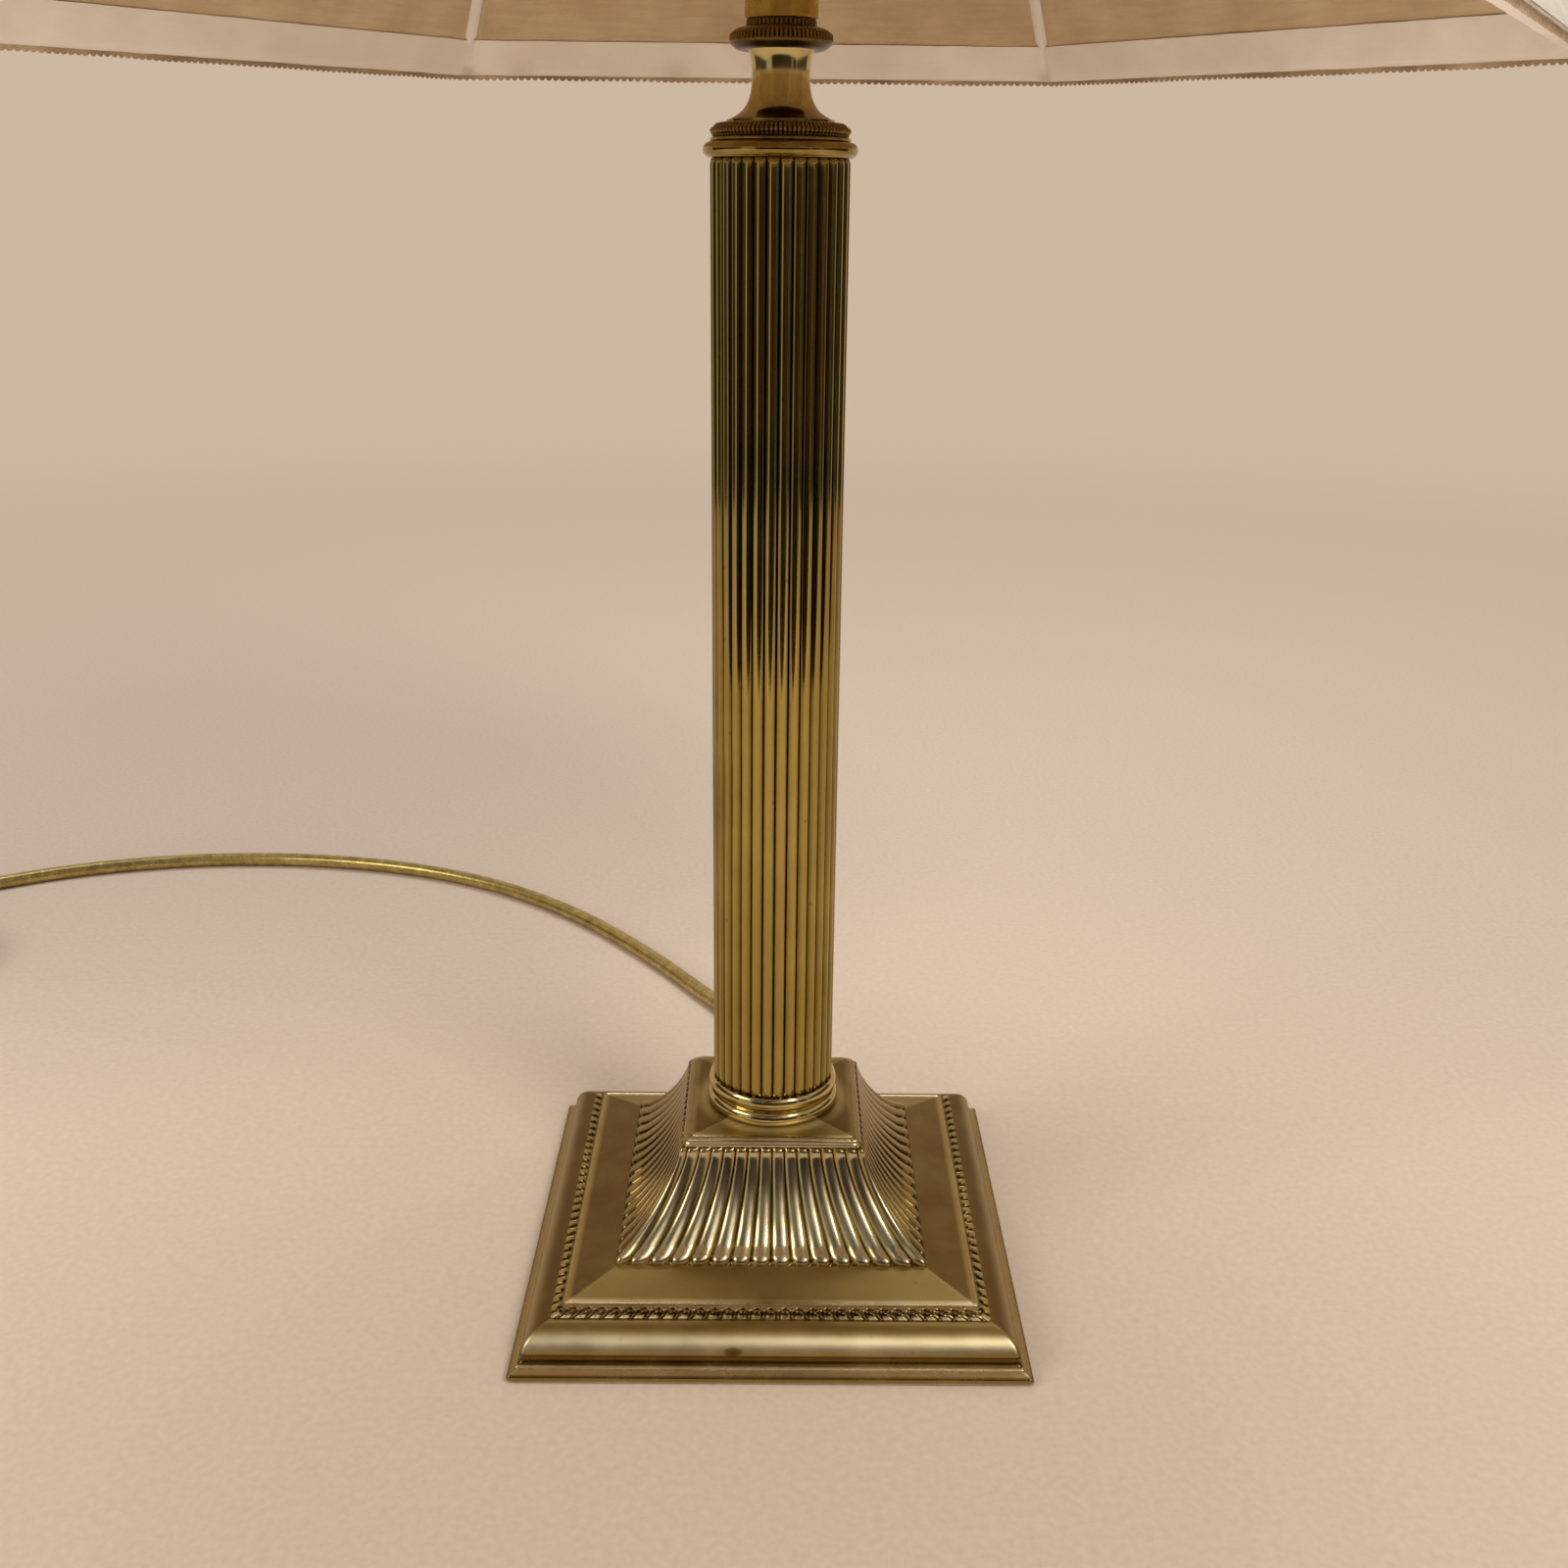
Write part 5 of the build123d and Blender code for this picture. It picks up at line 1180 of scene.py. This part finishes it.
# %% Cards for the reflections
def card(name, tones, profile, spans, turned_by=0.0):
    """Flat cards that only reflections see. Profile is (y, z) points, spans run along X."""
    material, tree, shader = finish(name)
    place = add(tree, "TexCoord", {})
    along = add(tree, "Mapping", {"Scale": (1.0, 0.05, 0.05)}, {"Vector": place.outputs["Object"]})
    stripe = add(tree, "TexNoise", {"Scale": grains(90.0), "Detail": 3.0}, {"Vector": along})
    tone = add(tree, "ValToRGB", {"stops": tones}, {"Fac": stripe.outputs["Fac"]})
    shader.inputs["Base Color"].default_value = linear("#000000")
    shader.inputs["Emission Strength"].default_value = 1.0
    tree.links.new(tone.outputs["Color"], shader.inputs["Emission Color"])
    points, faces = [], []
    for low, high in spans:
        first, count = len(points), len(profile)
        points += [(x, y, z) for x in (low, high) for y, z in profile]
        faces += [(first + i, first + count + i, first + count + i + 1, first + i + 1)
                  for i in range(count - 1)]
    mesh = bpy.data.meshes.new(name)
    mesh.from_pydata(points, [], faces)
    mesh.materials.append(material)
    made = put_in_scene(name, mesh)
    made.rotation_euler.z = turned_by
    for ray in ("camera", "diffuse", "transmission", "volume_scatter", "shadow"):
        setattr(made, "visible_" + ray, False)


EDGE, CARD_FOOT, UNDERSIDE, COLUMN_SEES, CARD_TOP = -0.68, 0.004, 0.178, 0.37, 0.75
SIDE_AWAY, SIDE_TOP = -1.4, 0.7
WALLS = [(-2.6, -1.15), (-0.5, 0.62), (0.7, 1.25), (1.4, 2.6)]
WINDOWS = [(-1.15, -0.5), (0.62, 0.7), (1.25, 1.4)]
card("black card", [(0.4, "#020202"), (0.6, "#0A0908")],
     [(EDGE, CARD_FOOT), (EDGE, UNDERSIDE)], WALLS)
card("room card", [(0.35, "#0E0706"), (0.48, "#2E150B"), (0.56, "#1D1420"), (0.64, "#4A3420")],
     [(EDGE, UNDERSIDE), (EDGE, COLUMN_SEES)], WALLS)
card("upper room card", [(0.35, "#3E3942"), (0.5, "#6A6268"), (0.65, "#9A8E8A")],
     [(EDGE, COLUMN_SEES), (EDGE, CARD_TOP)], WALLS)
card("window card", [(0.4, "#A6A8A4"), (0.6, "#C2C2BE")],
     [(EDGE, CARD_FOOT), (EDGE, CARD_TOP)], WINDOWS)
card("dusk card", [(0.4, "#3A3842"), (0.6, "#625E68")],
     [(-0.72, CARD_TOP), (-0.68, 1.1), (-0.45, 1.45), (0.0, 1.6), (0.4, 1.6)], [(-0.5, 0.5)])
for name, way in (("right side card", pi / 2), ("left side card", -pi / 2)):
    card(name, [(0.4, "#1E1A14"), (0.6, "#4E463A")],
         [(SIDE_AWAY, CARD_FOOT), (SIDE_AWAY, SIDE_TOP)], [(-0.75, 0.75)], way)
